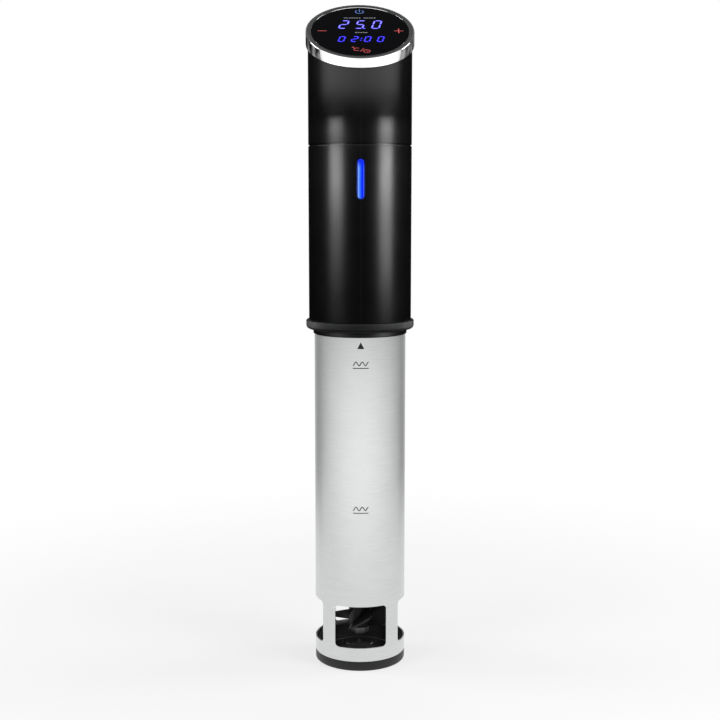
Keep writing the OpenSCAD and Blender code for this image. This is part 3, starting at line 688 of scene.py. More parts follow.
def light_pipe(name, colour, lo, hi):
    """Milky polycarbonate light pipe, lit from behind: its glow runs from mid blue at the left to deep blue
    at the right, and the pale band down its left side and the lighter line near its right rim are painted
    highlights.
    """
    material, tree, bsdf = surface(name, Roughness=0.3, Emission_Strength=1.0, Coat_Weight=0.1)
    where = position(tree)
    parts = add(tree, "ShaderNodeSeparateXYZ", {"Vector": where})
    rim = 2.45 * MM
    across = add(tree, "ShaderNodeMapRange", {
        "Value": parts.outputs["X"], "From Min": lo.x + rim, "From Max": hi.x - rim})
    cloud = add(tree, "ShaderNodeTexNoise", {"Vector": where, "Scale": per(5), "Detail": 2.0})
    drift = spread(tree, cloud.outputs["Fac"], -0.06, 0.06)
    level = add(tree, "ShaderNodeMath", {0: across.outputs[0], 1: drift}, operation="ADD", use_clamp=True)
    # the ramp's pale bands are painted highlights laid over the pipe's glow
    ramp = add(tree, "ShaderNodeValToRGB", {"Fac": level.outputs[0]})
    stops = ramp.color_ramp.elements
    stops[0].color = linear(PIPE_GLOW_AND_HIGHLIGHTS[0][1])
    stops[1].color = linear(PIPE_GLOW_AND_HIGHLIGHTS[-1][1])
    for place, tone in PIPE_GLOW_AND_HIGHLIGHTS[1:-1]:
        stops.new(place).color = linear(tone)
    up = add(tree, "ShaderNodeMapRange", {
        "Value": parts.outputs["Z"], "From Min": hi.z - 8 * MM, "From Max": hi.z - 3 * MM},
        interpolation_type="SMOOTHSTEP")
    top = add(tree, "ShaderNodeMix", {"Factor": up.outputs[0], "A": ramp.outputs[0]}, data_type="RGBA")
    top.inputs["B"].default_value = linear("#0a28ea")
    feed(bsdf, Emission_Color=top.outputs["Result"],
         Base_Color=tinted(tree, level.outputs[0], shade(colour, 0.4), shade(colour, 0.2)))
    return material


def moulded_rubber(name, colour, roughness=0.62):
    """Moulded silicone rubber: matt, with a faint bloom and a fine pore."""
    material, tree, bsdf = surface(name, IOR=1.43)
    where = position(tree)
    pore = add(tree, "ShaderNodeTexNoise", {"Vector": where, "Scale": per(0.35), "Detail": 5.0})
    bloom = add(tree, "ShaderNodeTexNoise", {"Vector": where, "Scale": per(7), "Detail": 3.0})
    bump = add(tree, "ShaderNodeBump", {
        "Height": pore.outputs["Fac"], "Strength": 0.18, "Distance": 0.03 * MM})
    feed(bsdf, Base_Color=tinted(tree, bloom.outputs["Fac"], shade(colour, 0.82), shade(colour, 1.2)),
         Roughness=spread(tree, bloom.outputs["Fac"], roughness - 0.07, roughness + 0.07),
         Normal=bump.outputs[0])
    return material


def brushed_stainless(name, colour, roughness=0.34, about_y=False):
    """Stainless tube brushed round its axis: fine lines along the turn that stretch its highlights.

    The real lines are about 0.03 mm apart. They are drawn 0.25 mm apart so that they show.
    """
    material, tree, bsdf = surface(name, Metallic=1.0)
    where = position(tree)
    parts = add(tree, "ShaderNodeSeparateXYZ", {"Vector": where})
    first, second, along = ("X", "Z", "Y") if about_y else ("X", "Y", "Z")
    turn = add(tree, "ShaderNodeMath", {0: parts.outputs[second], 1: parts.outputs[first]},
               operation="ARCTAN2")
    cosine = add(tree, "ShaderNodeMath", {0: turn.outputs[0]}, operation="COSINE")
    sine = add(tree, "ShaderNodeMath", {0: turn.outputs[0]}, operation="SINE")
    height = add(tree, "ShaderNodeMath", {0: parts.outputs[along], 1: per(0.25)}, operation="MULTIPLY")
    line_at = add(tree, "ShaderNodeCombineXYZ", {
        "X": cosine.outputs[0], "Y": sine.outputs[0], "Z": height.outputs[0]})
    lines = add(tree, "ShaderNodeTexNoise", {
        "Vector": line_at.outputs[0], "Scale": 2.0, "Detail": 6.0, "Roughness": 0.7})
    patch = add(tree, "ShaderNodeTexNoise", {"Vector": where, "Scale": per(18), "Detail": 3.0})
    cloud = spread(tree, patch.outputs["Fac"], -0.12, 0.12)
    both = add(tree, "ShaderNodeMath", {0: lines.outputs["Fac"], 1: cloud}, operation="ADD")
    bump = add(tree, "ShaderNodeBump", {
        "Height": lines.outputs["Fac"], "Strength": 0.22, "Distance": 0.02 * MM})
    feed(bsdf, Base_Color=tinted(tree, both.outputs[0], shade(colour, 0.82), shade(colour, 1.08)),
         Roughness=spread(tree, both.outputs[0], roughness - 0.08, roughness + 0.1),
         Normal=bump.outputs[0])
    return material


def inner_finish(name, colour, metallic, roughness, grain, depth):
    """A finish for a piece that is mostly out of sight: its colour, sheen and a grain of a real size."""
    material, tree, bsdf = surface(name, Metallic=metallic)
    noise = add(tree, "ShaderNodeTexNoise", {"Vector": position(tree), "Scale": per(grain), "Detail": 4.0})
    bump = add(tree, "ShaderNodeBump", {
        "Height": noise.outputs["Fac"], "Strength": 0.25, "Distance": depth * MM})
    feed(bsdf, Base_Color=tinted(tree, noise.outputs["Fac"], shade(colour, 0.78), shade(colour, 1.15)),
         Roughness=spread(tree, noise.outputs["Fac"], roughness - 0.06, roughness + 0.08),
         Normal=bump.outputs[0])
    return material


def finish(name):
    """A finish by its name, made once."""
    return bpy.data.materials.get(name) or FINISHES[name](name, sizes("finishes"))


FINISHES = {
    "spark_eroded_abs": lambda name, c: moulded_abs(name, c.housing, seam=True),
    "glass_filled_nylon": lambda name, c: moulded_abs(name, "#101011", roughness=0.48),
    "polished_chrome_plate": lambda name, c: polished_chrome(name),
    "satin_chrome_plate": lambda name, c: satin_chrome(name),
    "hard_coated_black_acrylic": lambda name, c: hard_coated_acrylic(name, c.window),
    "lit_digit": lambda name, c: lit_mark(name, c.digit_edge, c.digit, 1.5),
    "lit_timer_digit": lambda name, c: lit_mark(name, c.digit_edge, c.timer, 1.4),
    "lit_key": lambda name, c: lit_mark(name, shade(c.key, 0.75), c.key, 0.9),
    "lit_power_key": lambda name, c: lit_mark(name, shade(c.power, 0.6), c.power, 0.95),
    "white_label_ink": lambda name, c: printed_ink(name, c.label),
    "black_level_ink": lambda name, c: printed_ink(name, "#151516"),
    "milky_light_pipe": lambda name, c: light_pipe(name, c.light, low("status_lens"), high("status_lens")),
    "collar_silicone": lambda name, c: moulded_rubber(name, c.collar),
    "pad_silicone": lambda name, c: moulded_rubber(name, "#434446", roughness=0.7),
    "brushed_stainless_tube": lambda name, c: brushed_stainless(name, c.steel, 0.36),
    "turned_zinc_steel": lambda name, c: brushed_stainless(name, "#b9bbbe", 0.3, about_y=True),
}

# Record slot: (name, sRGB colour, metallic, roughness, grain in mm, bump depth in mm)
INNER_FINISHES = {
    "display_glass": ("filled_display_block", "#10101a", 0.0, 0.2, 3.0, 0.01),
    "light_board": ("white_solder_mask", "#e2e4e6", 0.0, 0.4, 1.5, 0.01),
    "circuit_board": ("green_solder_mask", "#1f5a36", 0.0, 0.36, 1.2, 0.02),
    "inner_plastic": ("moulded_nylon", "#232426", 0.0, 0.5, 0.6, 0.03),
    "component_case": ("taped_winding", "#cf9a35", 0.0, 0.42, 1.0, 0.03),
    "capacitor_sleeve": ("shrunk_sleeve", "#26324d", 0.0, 0.3, 2.0, 0.01),
    "heat_sink_aluminium": ("extruded_aluminium", "#c3c5c8", 1.0, 0.42, 0.8, 0.02),
    "spring_steel": ("bright_spring_steel", "#c6c7ca", 1.0, 0.28, 0.5, 0.01),
    "screw_steel": ("zinc_plated_steel", "#bfc1c4", 1.0, 0.34, 0.7, 0.01),
    "ribbon": ("flat_ribbon_cable", "#cfcab4", 0.0, 0.5, 0.9, 0.03),
    "bracket_steel": ("zinc_plated_sheet", "#b1b3b6", 1.0, 0.4, 1.6, 0.01),
    "motor_copper": ("enamelled_copper_winding", "#b0622e", 1.0, 0.35, 0.6, 0.05),
    "rotor_steel": ("laminated_steel", "#85868a", 1.0, 0.42, 0.5, 0.03),
    "bearing_steel": ("ground_steel", "#d2d3d5", 1.0, 0.22, 0.4, 0.01),
    "neck_plastic": ("glass_filled_nylon_neck", "#050505", 0.0, 0.4, 0.4, 0.02),
    "plate_steel": ("plain_stainless", "#cccdd0", 1.0, 0.3, 0.7, 0.01),
    "gasket_silicone": ("red_silicone", "#b3412f", 0.0, 0.6, 0.5, 0.02),
    "seal_rubber": ("nitrile_rubber", "#1c1c1d", 0.0, 0.6, 0.4, 0.02),
    "bush_plastic": ("low_friction_plastic", "#ecebe5", 0.0, 0.4, 0.8, 0.01),
    "heater_steel": ("heat_tinted_stainless", "#b8b2a8", 1.0, 0.36, 5.0, 0.01),
    "terminal_brass": ("turned_brass", "#cdaa5c", 1.0, 0.28, 0.5, 0.01),
    "lead_insulation": ("silicone_wire", "#a01f1c", 0.0, 0.55, 0.6, 0.02),
    "insulator_ceramic": ("glazed_ceramic", "#efece3", 0.0, 0.15, 4.0, 0.01),
}


# ---------------------------------------------------------------- pieces


def panel_height():
    """Height at which the bezel's face crosses the axis, and its slope."""
    slope = math.tan(sizes("housing").panel_tilt)
    return high("bezel").z - high("bezel").x * slope, slope


def seat_height():
    """Height at which the housing's upper edge crosses the axis, and its slope."""
    slope = math.tan(sizes("housing").seat_tilt)
    return high("upper_housing").z - high("lower_housing").x * slope, slope


def window_height():
    """Height at which the window's face crosses the axis, and its slope."""
    height, slope = panel_height()
    return height - sizes("panel").recess / math.cos(sizes("housing").panel_tilt), slope


def window_thickness():
    """Upright thickness of the sloped window."""
    _, slope = panel_height()
    return high("panel_window").z - low("panel_window").z - 2 * high("panel_window").x * slope


class CIRCULATOR_OT_upper_housing(bpy.types.Operator):
    """Upper housing: a tube with a sloped top, a spigot, vents and the cord's hole"""

    bl_idname = "circulator.upper_housing"
    bl_label = "Upper housing"

    def execute(self, context):
        size = sizes("housing")
        radius = high("lower_housing").x
        bore = radius - size.wall
        seam = high("lower_housing").z
        seat, slope = seat_height()
        spigot = bore - FIT
        inside = bore - size.spigot_wall
        step, end = seam + 4 * MM, seam - size.spigot
        outline = eased([
            (radius, seam, size.edge, 0), (radius, seat, 0.2 * MM, slope), (bore, seat, 0.2 * MM, slope),
            (bore, step, 0, 0), (inside, step, 0, 0), (inside, end, 0.3 * MM, 0),
            (spigot, end, 0.3 * MM, 0), (spigot, seam, 0, 0)])
        look = finish("spark_eroded_abs")
        obj = piece("upper_housing_shell", turned(outline), [look])
        vent = cutter(stadium(size.vent_width, size.vent_height), 12 * MM)
        first = -(size.vent_count - 1) / 2 * size.vent_pitch
        place = shift(first, radius + 4 * MM, seam + size.vent_rise + size.vent_height / 2) @ UPRIGHT
        pattern(obj, placed(vent, place), True, size.vent_count, look, step=(size.vent_pitch, 0, 0))
        hole = cylinder_y(5.1 * MM, radius - 6 * MM, radius + 6 * MM, middle_of("cord_gland").z, 48)
        pattern(obj, hole, True, 1, look)
        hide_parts("upper_housing")
        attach(obj, HOUSING)
        return {"FINISHED"}


class CIRCULATOR_OT_lower_housing(bpy.types.Operator):
    """Lower housing: a tube with a shadow groove at its top and the status light's slot"""

    bl_idname = "circulator.lower_housing"
    bl_label = "Lower housing"

    def execute(self, context):
        size = sizes("housing")
        radius = high("lower_housing").x
        bore = radius - size.wall
        bottom, seam = low("lower_housing").z, high("lower_housing").z
        groove, shoulder = seam - size.seam_gap, radius - size.seam_depth
        # the ledge that carries the board's carrier
        ledge = low("board_carrier").z
        inner, under = bore - 3 * MM, ledge - 3 * MM
        outline = eased([
            (radius, bottom, size.edge, 0), (radius, groove, size.edge, 0), (shoulder, groove, 0, 0),
            (shoulder, seam, 0, 0), (bore, seam, 0, 0), (bore, ledge, 0, 0), (inner, ledge, 0, 0),
            (inner, under, 0, 0), (bore, under, 0, 0), (bore, bottom, 0, 0)])
        look = finish("spark_eroded_abs")
        obj = piece("lower_housing_shell", turned(outline), [look])
        lens = high("status_lens") - low("status_lens")
        grown = 2 * FIT - LENS_FLANGE
        slot = cutter(stadium(lens.x + grown, lens.z + grown, 16), 6 * MM)
        place = shift(0, -radius + 3.5 * MM, middle_of("status_lens").z) @ UPRIGHT
        pattern(obj, placed(slot, place), True, 1, look)
        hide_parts("lower_housing")
        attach(obj, HOUSING)
        return {"FINISHED"}


class CIRCULATOR_OT_bezel(bpy.types.Operator):
    """Bezel: a chrome ring cut on two slopes, with a satin face and a skirt in the housing"""

    bl_idname = "circulator.bezel"
    bl_label = "Bezel"

    def execute(self, context):
        size = sizes("panel")
        radius = high("bezel").x
        face, slope = panel_height()
        seat, seat_slope = seat_height()
        window = radius - size.face_width + FIT
        rest = face - window_thickness() - size.recess
        skirt = high("lower_housing").x - sizes("housing").wall - FIT
        inner = skirt - 2 * MM
        end = seat - 5 * MM
        outline = eased([
            (radius, seat, 0.25 * MM, seat_slope, 0), (radius, face, 0.55 * MM, slope, 0),
            (radius - 0.75 * MM, face, 0, slope, 1), (window + 0.5 * MM, face, 0, slope, 1),
            (window, face - 0.22 * MM, 0.05 * MM, slope, 0), (window, rest, 0, slope, 0),
            (inner, rest, 0, slope, 0), (inner, end, 0, seat_slope, 0),
            (skirt, end, 0.2 * MM, seat_slope, 0), (skirt, seat, 0, seat_slope, 0)])
        obj = piece("bezel_ring", turned(outline, 192),
                    [finish("polished_chrome_plate"), finish("satin_chrome_plate")], crease=32)
        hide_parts("bezel")
        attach(obj, HOUSING)
        return {"FINISHED"}


class CIRCULATOR_OT_window(bpy.types.Operator):
    """Window of the control panel: a sloped disc with an eased rim"""

    bl_idname = "circulator.window"
    bl_label = "Panel window"

    def execute(self, context):
        radius = high("panel_window").x
        face, slope = window_height()
        back = face - window_thickness()
        outline = eased([
            (0, face, 0, slope), (radius, face, 0.2 * MM, slope), (radius, back, 0.1 * MM, slope),
            (0, back, 0, slope)])
        obj = piece("panel_window_disc", turned(outline, 192), [finish("hard_coated_black_acrylic")])
        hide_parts("panel_window")
        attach(obj, HOUSING)
        return {"FINISHED"}


# Lit strokes of each digit: top, upper left, upper right, middle, lower left, lower right, bottom
STROKES = {"0": "1110111", "2": "1011101", "5": "1101011"}


def digit(symbol, x, y, stroke, height):
    """The lit strokes of one upright digit, x wide and y tall, with its lower left corner at the origin."""
    gap = stroke * 0.32
    middle = y / 2
    ends = [
        ((0, y), (x, y)), ((0, middle), (0, y)), ((x, middle), (x, y)), ((0, middle), (x, middle)),
        ((0, 0), (0, middle)), ((x, 0), (x, middle)), ((0, 0), (x, 0))]
    parts = []
    for lit, (start, end) in zip(STROKES[symbol], ends):
        if lit == "1":
            start, end = Vector(start), Vector(end)
            along = (end - start).normalized()
            first, last = start + along * gap, end - along * gap
            ease = along * stroke * 0.45
            points = [first, first + ease, last - ease, last]
            parts.append(ribbon(points, stroke, height, taper=0.35, columns=4))
    return joined(parts)


def on_window(bm):
    """Places a flat shape on the window's face."""
    face, _ = window_height()
    tilt = sizes("housing").panel_tilt
    return placed(bm, shift(0, 0, face) @ Matrix.Rotation(tilt, 4, "X"))


def number(text, wide, tall, pitch, stroke, height):
    """A row of slanted digits, centred on the origin. A point or colon takes a small gap."""
    lean = math.tan(sizes("panel").slant)
    parts, x = [], 0.0
    for symbol in text:
        if symbol in STROKES:
            parts.append(placed(digit(symbol, wide, tall, stroke, height), shift(x, 0, 0)))
            x += pitch
            continue
        levels = [0.0] if symbol == "." else [tall * 0.27, tall * 0.66]
        at = x - pitch + wide + 1.2 * MM if symbol == "." else x - (pitch - wide) / 2
        for level in levels:
            dot = ribbon([(at - stroke / 2, level), (at, level), (at + stroke / 2, level)], stroke, height)
            parts.append(dot)
    row = joined(parts)
    lean_over = Matrix(((1, lean, 0, 0), (0, 1, 0, 0), (0, 0, 1, 0), (0, 0, 0, 1)))
    return placed(row, lean_over @ shift(-(x - pitch + wide) / 2, -tall / 2, 0))


class CIRCULATOR_OT_digits(bpy.types.Operator):
    """Lit digits of the temperature and the timer"""

    bl_idname = "circulator.digits"
    bl_label = "Lit digits"

    def execute(self, context):
        size = sizes("panel")
        # name, finish, digits, then in metres: width, height, pitch, stroke and the row's centre
        rows = (
            ("temperature_digits", "lit_digit", "25.0",
             4.2 * MM, size.degrees_height, 9.8 * MM, 1.15 * MM, 0.3 * MM, 8.9 * MM),
            ("timer_digits", "lit_timer_digit", "02:00",
             3.05 * MM, size.timer_height, 7.6 * MM, 0.95 * MM, 0.6 * MM, -11.4 * MM))
        for name, look, text, wide, tall, pitch, stroke, x, y in rows:
            row = placed(number(text, wide, tall, pitch, stroke, size.mark), shift(x, y, 0))
            obj = piece(name, on_window(row), [finish(look)], merge=False)
            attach(obj, HOUSING)
        return {"FINISHED"}


class CIRCULATOR_OT_keys(bpy.types.Operator):
    """Symbols of the touch keys and the plain lines over the displays"""

    bl_idname = "circulator.keys"
    bl_label = "Key symbols"

    def execute(self, context):
        height = sizes("panel").mark

        # all these are drawn in millimetres
        def line(start, end, width=0.75):
            """A straight stroke."""
            ends = [Vector(point) * MM for point in (start, end)]
            return ribbon([ends[0], (ends[0] + ends[1]) / 2, ends[1]], width * MM, height)

        def bow(centre, radius, first, last, width, steps):
            """A stroke along part of a circle, between two angles in degrees."""
            turns = [math.radians(first + (last - first) * i / steps) for i in range(steps + 1)]
            points = [Vector(centre) + radius * Vector((math.cos(t), math.sin(t))) for t in turns]
            return ribbon([point * MM for point in points], width * MM, height)

        def dashes(x, y, counts):
            """Rows of short plain ticks in place of a printed label."""
            ticks, pitch = [], 1.5
            for count in counts:
                for _ in range(count):
                    ticks.append(line((x, y), (x + pitch * 0.72, y), 0.9))
                    x += pitch
                x += pitch
            return ticks

        reach, thin = 22.5, 0.62
        keys = {
            "minus_key_mark": ("lit_key", [line((-reach - 2.6, 0), (-reach + 2.8, 0), thin)]),
            "plus_key_mark": ("lit_key", [
                line((reach - 2.3, 0), (reach, 0), thin), line((reach + 0.8, 0), (reach + 3.1, 0), thin),
                line((reach + 0.4, -3.1), (reach + 0.4, 3.1))]),
            "power_key_mark": ("lit_power_key", [
                bow((0, 27.5), 2.4, 128, 412, 0.5, 40), line((0, 27.3), (0, 30.9), 0.6)]),
            "mode_key_mark": ("lit_key", [
                bow((-4.3, -22.6), 0.55, 0, 350, 0.35, 16), bow((-2.1, -25.2), 1.75, 50, 310, 0.45, 24),
                line((-0.2, -27.9), (2.0, -23.9), 0.45), bow((3.6, -27.6), 1.85, 0, 354, 0.4, 32),
                line((3.6, -27.6), (3.6, -26.4), 0.35), line((3.7, -27.6), (4.6, -27.6), 0.35)]),
            "display_line_marks": ("white_label_ink", [
                *dashes(-9.5, 18.4, (7, 5)), *dashes(-2.9, -2.3, (5,))]),
        }
        for name, (look, parts) in keys.items():
            obj = piece(name, on_window(joined(parts)), [finish(look)], merge=False)
            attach(obj, HOUSING)
        return {"FINISHED"}


class CIRCULATOR_OT_status_light(bpy.types.Operator):
    """Status light: a slot-shaped light pipe that stands a little out of the housing"""

    bl_idname = "circulator.status_light"
    bl_label = "Status light"

    def execute(self, context):
        lo, hi = low("status_lens"), high("status_lens")
        radius = high("lower_housing").x
        wide, tall = hi.x - lo.x - LENS_FLANGE, hi.z - lo.z - LENS_FLANGE
        front = -lo.y - radius
        # how far each ring is drawn in, and how far it stands out of the housing
        levels = (
            (0.45 * MM, -2.6 * MM), (0.45 * MM, -0.1 * MM), (0.55 * MM, front * 0.5),
            (0.8 * MM, front * 0.85), (1.3 * MM, front * 0.97), (wide / 2 - 0.15 * MM, front))
        bm = bmesh.new()
        rings = []
        for drawn, rise in levels:
            outline = stadium(wide - 2 * drawn, tall - 2 * drawn, 20)
            rings.append([bm.verts.new((x, z, rise)) for x, z in outline])
        for ring, following in zip(rings, rings[1:]):
            for i in range(len(ring)):
                k = (i + 1) % len(ring)
                bm.faces.new((ring[i], ring[k], following[k], following[i]))
        bm.faces.new(rings[0][::-1])
        bm.faces.new(rings[-1])
        wrapped(bm, radius)
        placed(bm, shift(0, 0, middle_of("status_lens").z))
        obj = piece("status_light_pipe", bm, [finish("milky_light_pipe")], crease=60)
        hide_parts("status_lens")
        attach(obj, HOUSING)
        return {"FINISHED"}


class CIRCULATOR_OT_collar(bpy.types.Operator):
    """Soft collar: a rounded ring under the housing"""

    bl_idname = "circulator.collar"
    bl_label = "Collar"

    def execute(self, context):
        lo, hi = low("collar_ring"), high("collar_ring")
        inner = high("lower_housing").x - 1 * MM
        outline = eased([(inner, lo.z, 0.3 * MM), (hi.x, lo.z, 2.2 * MM), (hi.x, hi.z, 0.7 * MM),
                         (inner, hi.z, 0.3 * MM)], 8)
        obj = piece("soft_collar", turned(outline, 192), [finish("collar_silicone")])
        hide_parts("collar_ring")
        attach(obj, HOUSING)
        return {"FINISHED"}


class CIRCULATOR_OT_sleeve(bpy.types.Operator):
    """Sleeve: a steel tube with water windows and three bayonet pins inside"""

    bl_idname = "circulator.sleeve"
    bl_label = "Sleeve"

    def execute(self, context):
        size = sizes("sleeve")
        lo, hi = low("sleeve"), high("sleeve")
        radius, inner = hi.x, hi.x - size.wall
        rim = 0.2 * MM
        outline = eased([(radius, lo.z, rim), (radius, hi.z, rim), (inner, hi.z, rim), (inner, lo.z, rim)])
        look = finish("brushed_stainless_tube")
        obj = piece("steel_sleeve", turned(outline, 192), [look])
        width = 2 * radius * math.sin(size.window_angle / 2)
        start = lo.z + 8.5 * MM
        opening = cutter(rectangle(width, size.window_height, size.window_corner), 20 * MM)
        place = shift(0, -12 * MM, start + size.window_height / 2) @ UPRIGHT
        pattern(obj, placed(opening, place), True, size.windows, look, turn=2 * math.pi / size.windows)
        # bayonet pins, pushed a little into the wall
        thick, long, pins = 1.8 * MM, 1.7 * MM, 3
        pin = turned(eased([(0, 0, 0), (thick, 0, 0.25 * MM), (thick, long, 0), (0, long, 0)]), 32)
        inwards = shift(inner - 1.5 * MM, 0, hi.z - 7 * MM) @ Matrix.Rotation(math.pi / 2, 4, "Y")
        place = Matrix.Rotation(math.pi / pins, 4, "Z") @ inwards
        pattern(obj, placed(pin, place), False, pins, look, turn=2 * math.pi / pins)
        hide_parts("sleeve")
        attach(obj, SLEEVE)
        return {"FINISHED"}


class CIRCULATOR_OT_level_marks(bpy.types.Operator):
    """Printed marks on the sleeve: an arrow, and a wave over a line at each water level"""

    bl_idname = "circulator.level_marks"
    bl_label = "Level marks"

    def execute(self, context):
        hi = high("sleeve")
        height = 0.05 * MM
        widths = [4.2 * MM, 2.1 * MM, 0.1 * MM]
        arrow = ribbon([(0, 0), (0, 2 * MM), (0, 3.9 * MM)], widths, height, columns=8)
        parts = [placed(arrow, shift(0, hi.z - 6.7 * MM, 0))]
        half, steps = 4.7 * MM, 48
        rise, swing, bends = 2.7 * MM, 1.1 * MM, 2.5 * math.pi
        for drop in (18.2 * MM, 106 * MM):
            across = [half * (2 * i / steps - 1) for i in range(steps + 1)]
            level = hi.z - drop
            wave = [(x, level + rise + swing * math.sin(x / half * bends)) for x in across]
            parts.append(ribbon([(x, level) for x in across], 0.5 * MM, height))
            parts.append(ribbon(wave, 0.55 * MM, height))
        obj = piece("level_marks", wrapped(joined(parts), hi.x), [finish("black_level_ink")], merge=False)
        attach(obj, SLEEVE)
        return {"FINISHED"}


class CIRCULATOR_OT_foot(bpy.types.Operator):
    """Foot: a slotted cap with a plug that fills the sleeve's end"""

    bl_idname = "circulator.foot"
    bl_label = "Foot"

    def execute(self, context):
        size = sizes("sleeve")
        lo, hi = low("bottom_cap"), high("bottom_cap")
        radius = hi.x
        foot = low("sleeve").z
        plug = radius - size.wall - FIT
        well, boss, plate = plug - 2.5 * MM, 8 * MM, 3 * MM
        outline = eased([
            (0, lo.z, 0), (radius, lo.z, 1.2 * MM), (radius, foot, 0.15 * MM), (plug, foot, 0),
            (plug, hi.z, 0.4 * MM), (well, hi.z, 0.4 * MM), (well, plate, 0.6 * MM),
            (boss, plate, 0.6 * MM), (boss, foot, 0.6 * MM), (0, foot, 0)])
        look = finish("glass_filled_nylon")
        obj = piece("slotted_foot", turned(outline, 192), [look])
        # the centres of a slot's round ends
        inner, outer = 11 * MM, plug + FIT - 6 * MM
        slot = cutter(stadium(size.slot_width, outer - inner + size.slot_width), 5 * MM)
        place = shift((inner + outer) / 2, 0, -1 * MM) @ Matrix.Rotation(math.pi / 2, 4, "Z")
        pattern(obj, placed(slot, place), True, size.foot_slots, look, turn=2 * math.pi / size.foot_slots)
        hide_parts("bottom_cap")
        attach(obj, SLEEVE)
        return {"FINISHED"}


class CIRCULATOR_OT_impeller(bpy.types.Operator):
    """Impeller: a hub with pitched blades that thin towards their tips"""

    bl_idname = "circulator.impeller"
    bl_label = "Impeller"

    def blade(self, root, tip, bottom, top):
        """One blade along X. From root to tip it gets flatter and thinner, and widest half way."""
        stations, spans = 10, 8
        middle, room = (bottom + top) / 2, (top - bottom) / 2 - 0.1 * MM
        bm = bmesh.new()
        verts = {}
        for i in range(stations + 1):
            share = i / stations
            reach = root + (tip - root) * share
            pitch = math.radians(44 - 16 * share)
            chord = (top - bottom - 1.2 * MM) / math.sin(pitch) * (0.78 + 0.22 * math.sin(math.pi * share))
            chord = min(chord, 16.4 * MM)
            thick = (1.9 - 0.9 * share) * MM
            for side in (-1, 1):
                for j in range(spans + 1):
                    s = 2 * j / spans - 1
                    bulge = side * thick / 2 * math.sqrt(max(0.0, 1 - s ** 4))
                    y = s * chord / 2 * math.cos(pitch) - bulge * math.sin(pitch)
                    z = s * chord / 2 * math.sin(pitch) + bulge * math.cos(pitch)
                    z = max(-room, min(room, z))
                    x = math.sqrt(max(reach ** 2 - y ** 2, 0.0))
                    verts[i, side, j] = bm.verts.new((x, y, middle + z))
        for i in range(stations):
            for side in (-1, 1):
                for j in range(spans):
                    bm.faces.new((verts[i, side, j], verts[i + 1, side, j],
                                  verts[i + 1, side, j + 1], verts[i, side, j + 1]))
        for i in (0, stations):
            for j in range(spans):
                bm.faces.new((verts[i, -1, j], verts[i, -1, j + 1], verts[i, 1, j + 1], verts[i, 1, j]))
        return bm

    def execute(self, context):
        lo, hi = low("impeller"), high("impeller")
        shaft = high("drive_shaft").x
        hub, tip = 7 * MM, hi.x - 0.2 * MM
        outline = eased([
            (shaft, lo.z, 0.2 * MM), (hub, lo.z, 0.8 * MM), (hub, hi.z, 0.8 * MM), (shaft, hi.z, 0.2 * MM)])
        look = finish("glass_filled_nylon")
        obj = piece("pump_impeller", turned(outline, 64), [look])
        pattern(obj, self.blade(0.9 * hub, tip, lo.z, hi.z), False, 4, look, turn=math.pi / 2)
        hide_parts("impeller")
        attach(obj, ROTOR)
        return {"FINISHED"}


class CIRCULATOR_OT_clamp_frame(bpy.types.Operator):
    """Clamp frame: a moulded saddle, bridge and outer leg behind the housing"""

    bl_idname = "circulator.clamp_frame"
    bl_label = "Clamp frame"

    def execute(self, context):
        edge = sizes("clamp").edge
        lo, hi = low("clamp_frame"), high("clamp_frame")
        saddle = low("fixed_pad").y
        leg = low("clamp_insert").y
        bridge = hi.z - 12 * MM
        centre = middle_of("clamp_insert").z
        foot = centre - hi.x
        outline = eased([
            (lo.y, lo.z, 0), (saddle, lo.z, 1.2 * MM), (saddle, bridge, 2 * MM), (leg, bridge, 2 * MM),
            (leg, foot, 1 * MM), (hi.y, foot, 1 * MM), (hi.y, hi.z, 3.5 * MM), (lo.y, hi.z, 0)])
        # drawn in the YZ plane and run across X
        across = Matrix(((0, 0, 1, 0), (1, 0, 0, 0), (0, 1, 0, 0), (0, 0, 0, 1)))
        look = finish("spark_eroded_abs")
        obj = piece("clamp_frame_arm", placed(slab(outline, lo.x, hi.x, edge), across), [look])
        body, past = high("lower_housing").x + FIT / 2, 1 * MM
        trimmed(obj, placed(turned([(0, 0), (body, 0), (body, 70 * MM), (0, 70 * MM)], 192),
                            shift(0, 0, lo.z - 5 * MM)))
        trimmed(obj, cylinder_y(6.6 * MM, leg - past, hi.y + past, centre))
        # the slot for the jaw's tongue runs forward as far as the jaw can close
        shut = low("jaw_plate").y - (low("jaw_pad").y - high("fixed_pad").y)
        slide = cutter(rectangle(6 * MM, 2 * (TONGUE + 0.4 * MM), 0.3 * MM), leg - past - shut)
        trimmed(obj, placed(slide, shift(0, leg - past, bridge) @ UPRIGHT))
        # the outer leg ends in a half round about the screw
        wing = hi.x + past
        corners = [(-wing, foot - 2 * MM), (wing, foot - 2 * MM), (wing, centre)]
        turns = [math.radians(-degrees) for degrees in range(0, 181, 6)]
        rounded = [(hi.x * math.cos(turn), centre + hi.x * math.sin(turn)) for turn in turns]
        waste = cutter(corners + rounded + [(-wing, centre)], hi.y - leg + 4 * MM)
        trimmed(obj, placed(waste, shift(0, hi.y + 2 * MM, 0) @ UPRIGHT))
        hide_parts("clamp_frame")
        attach(obj, HOUSING)
        return {"FINISHED"}


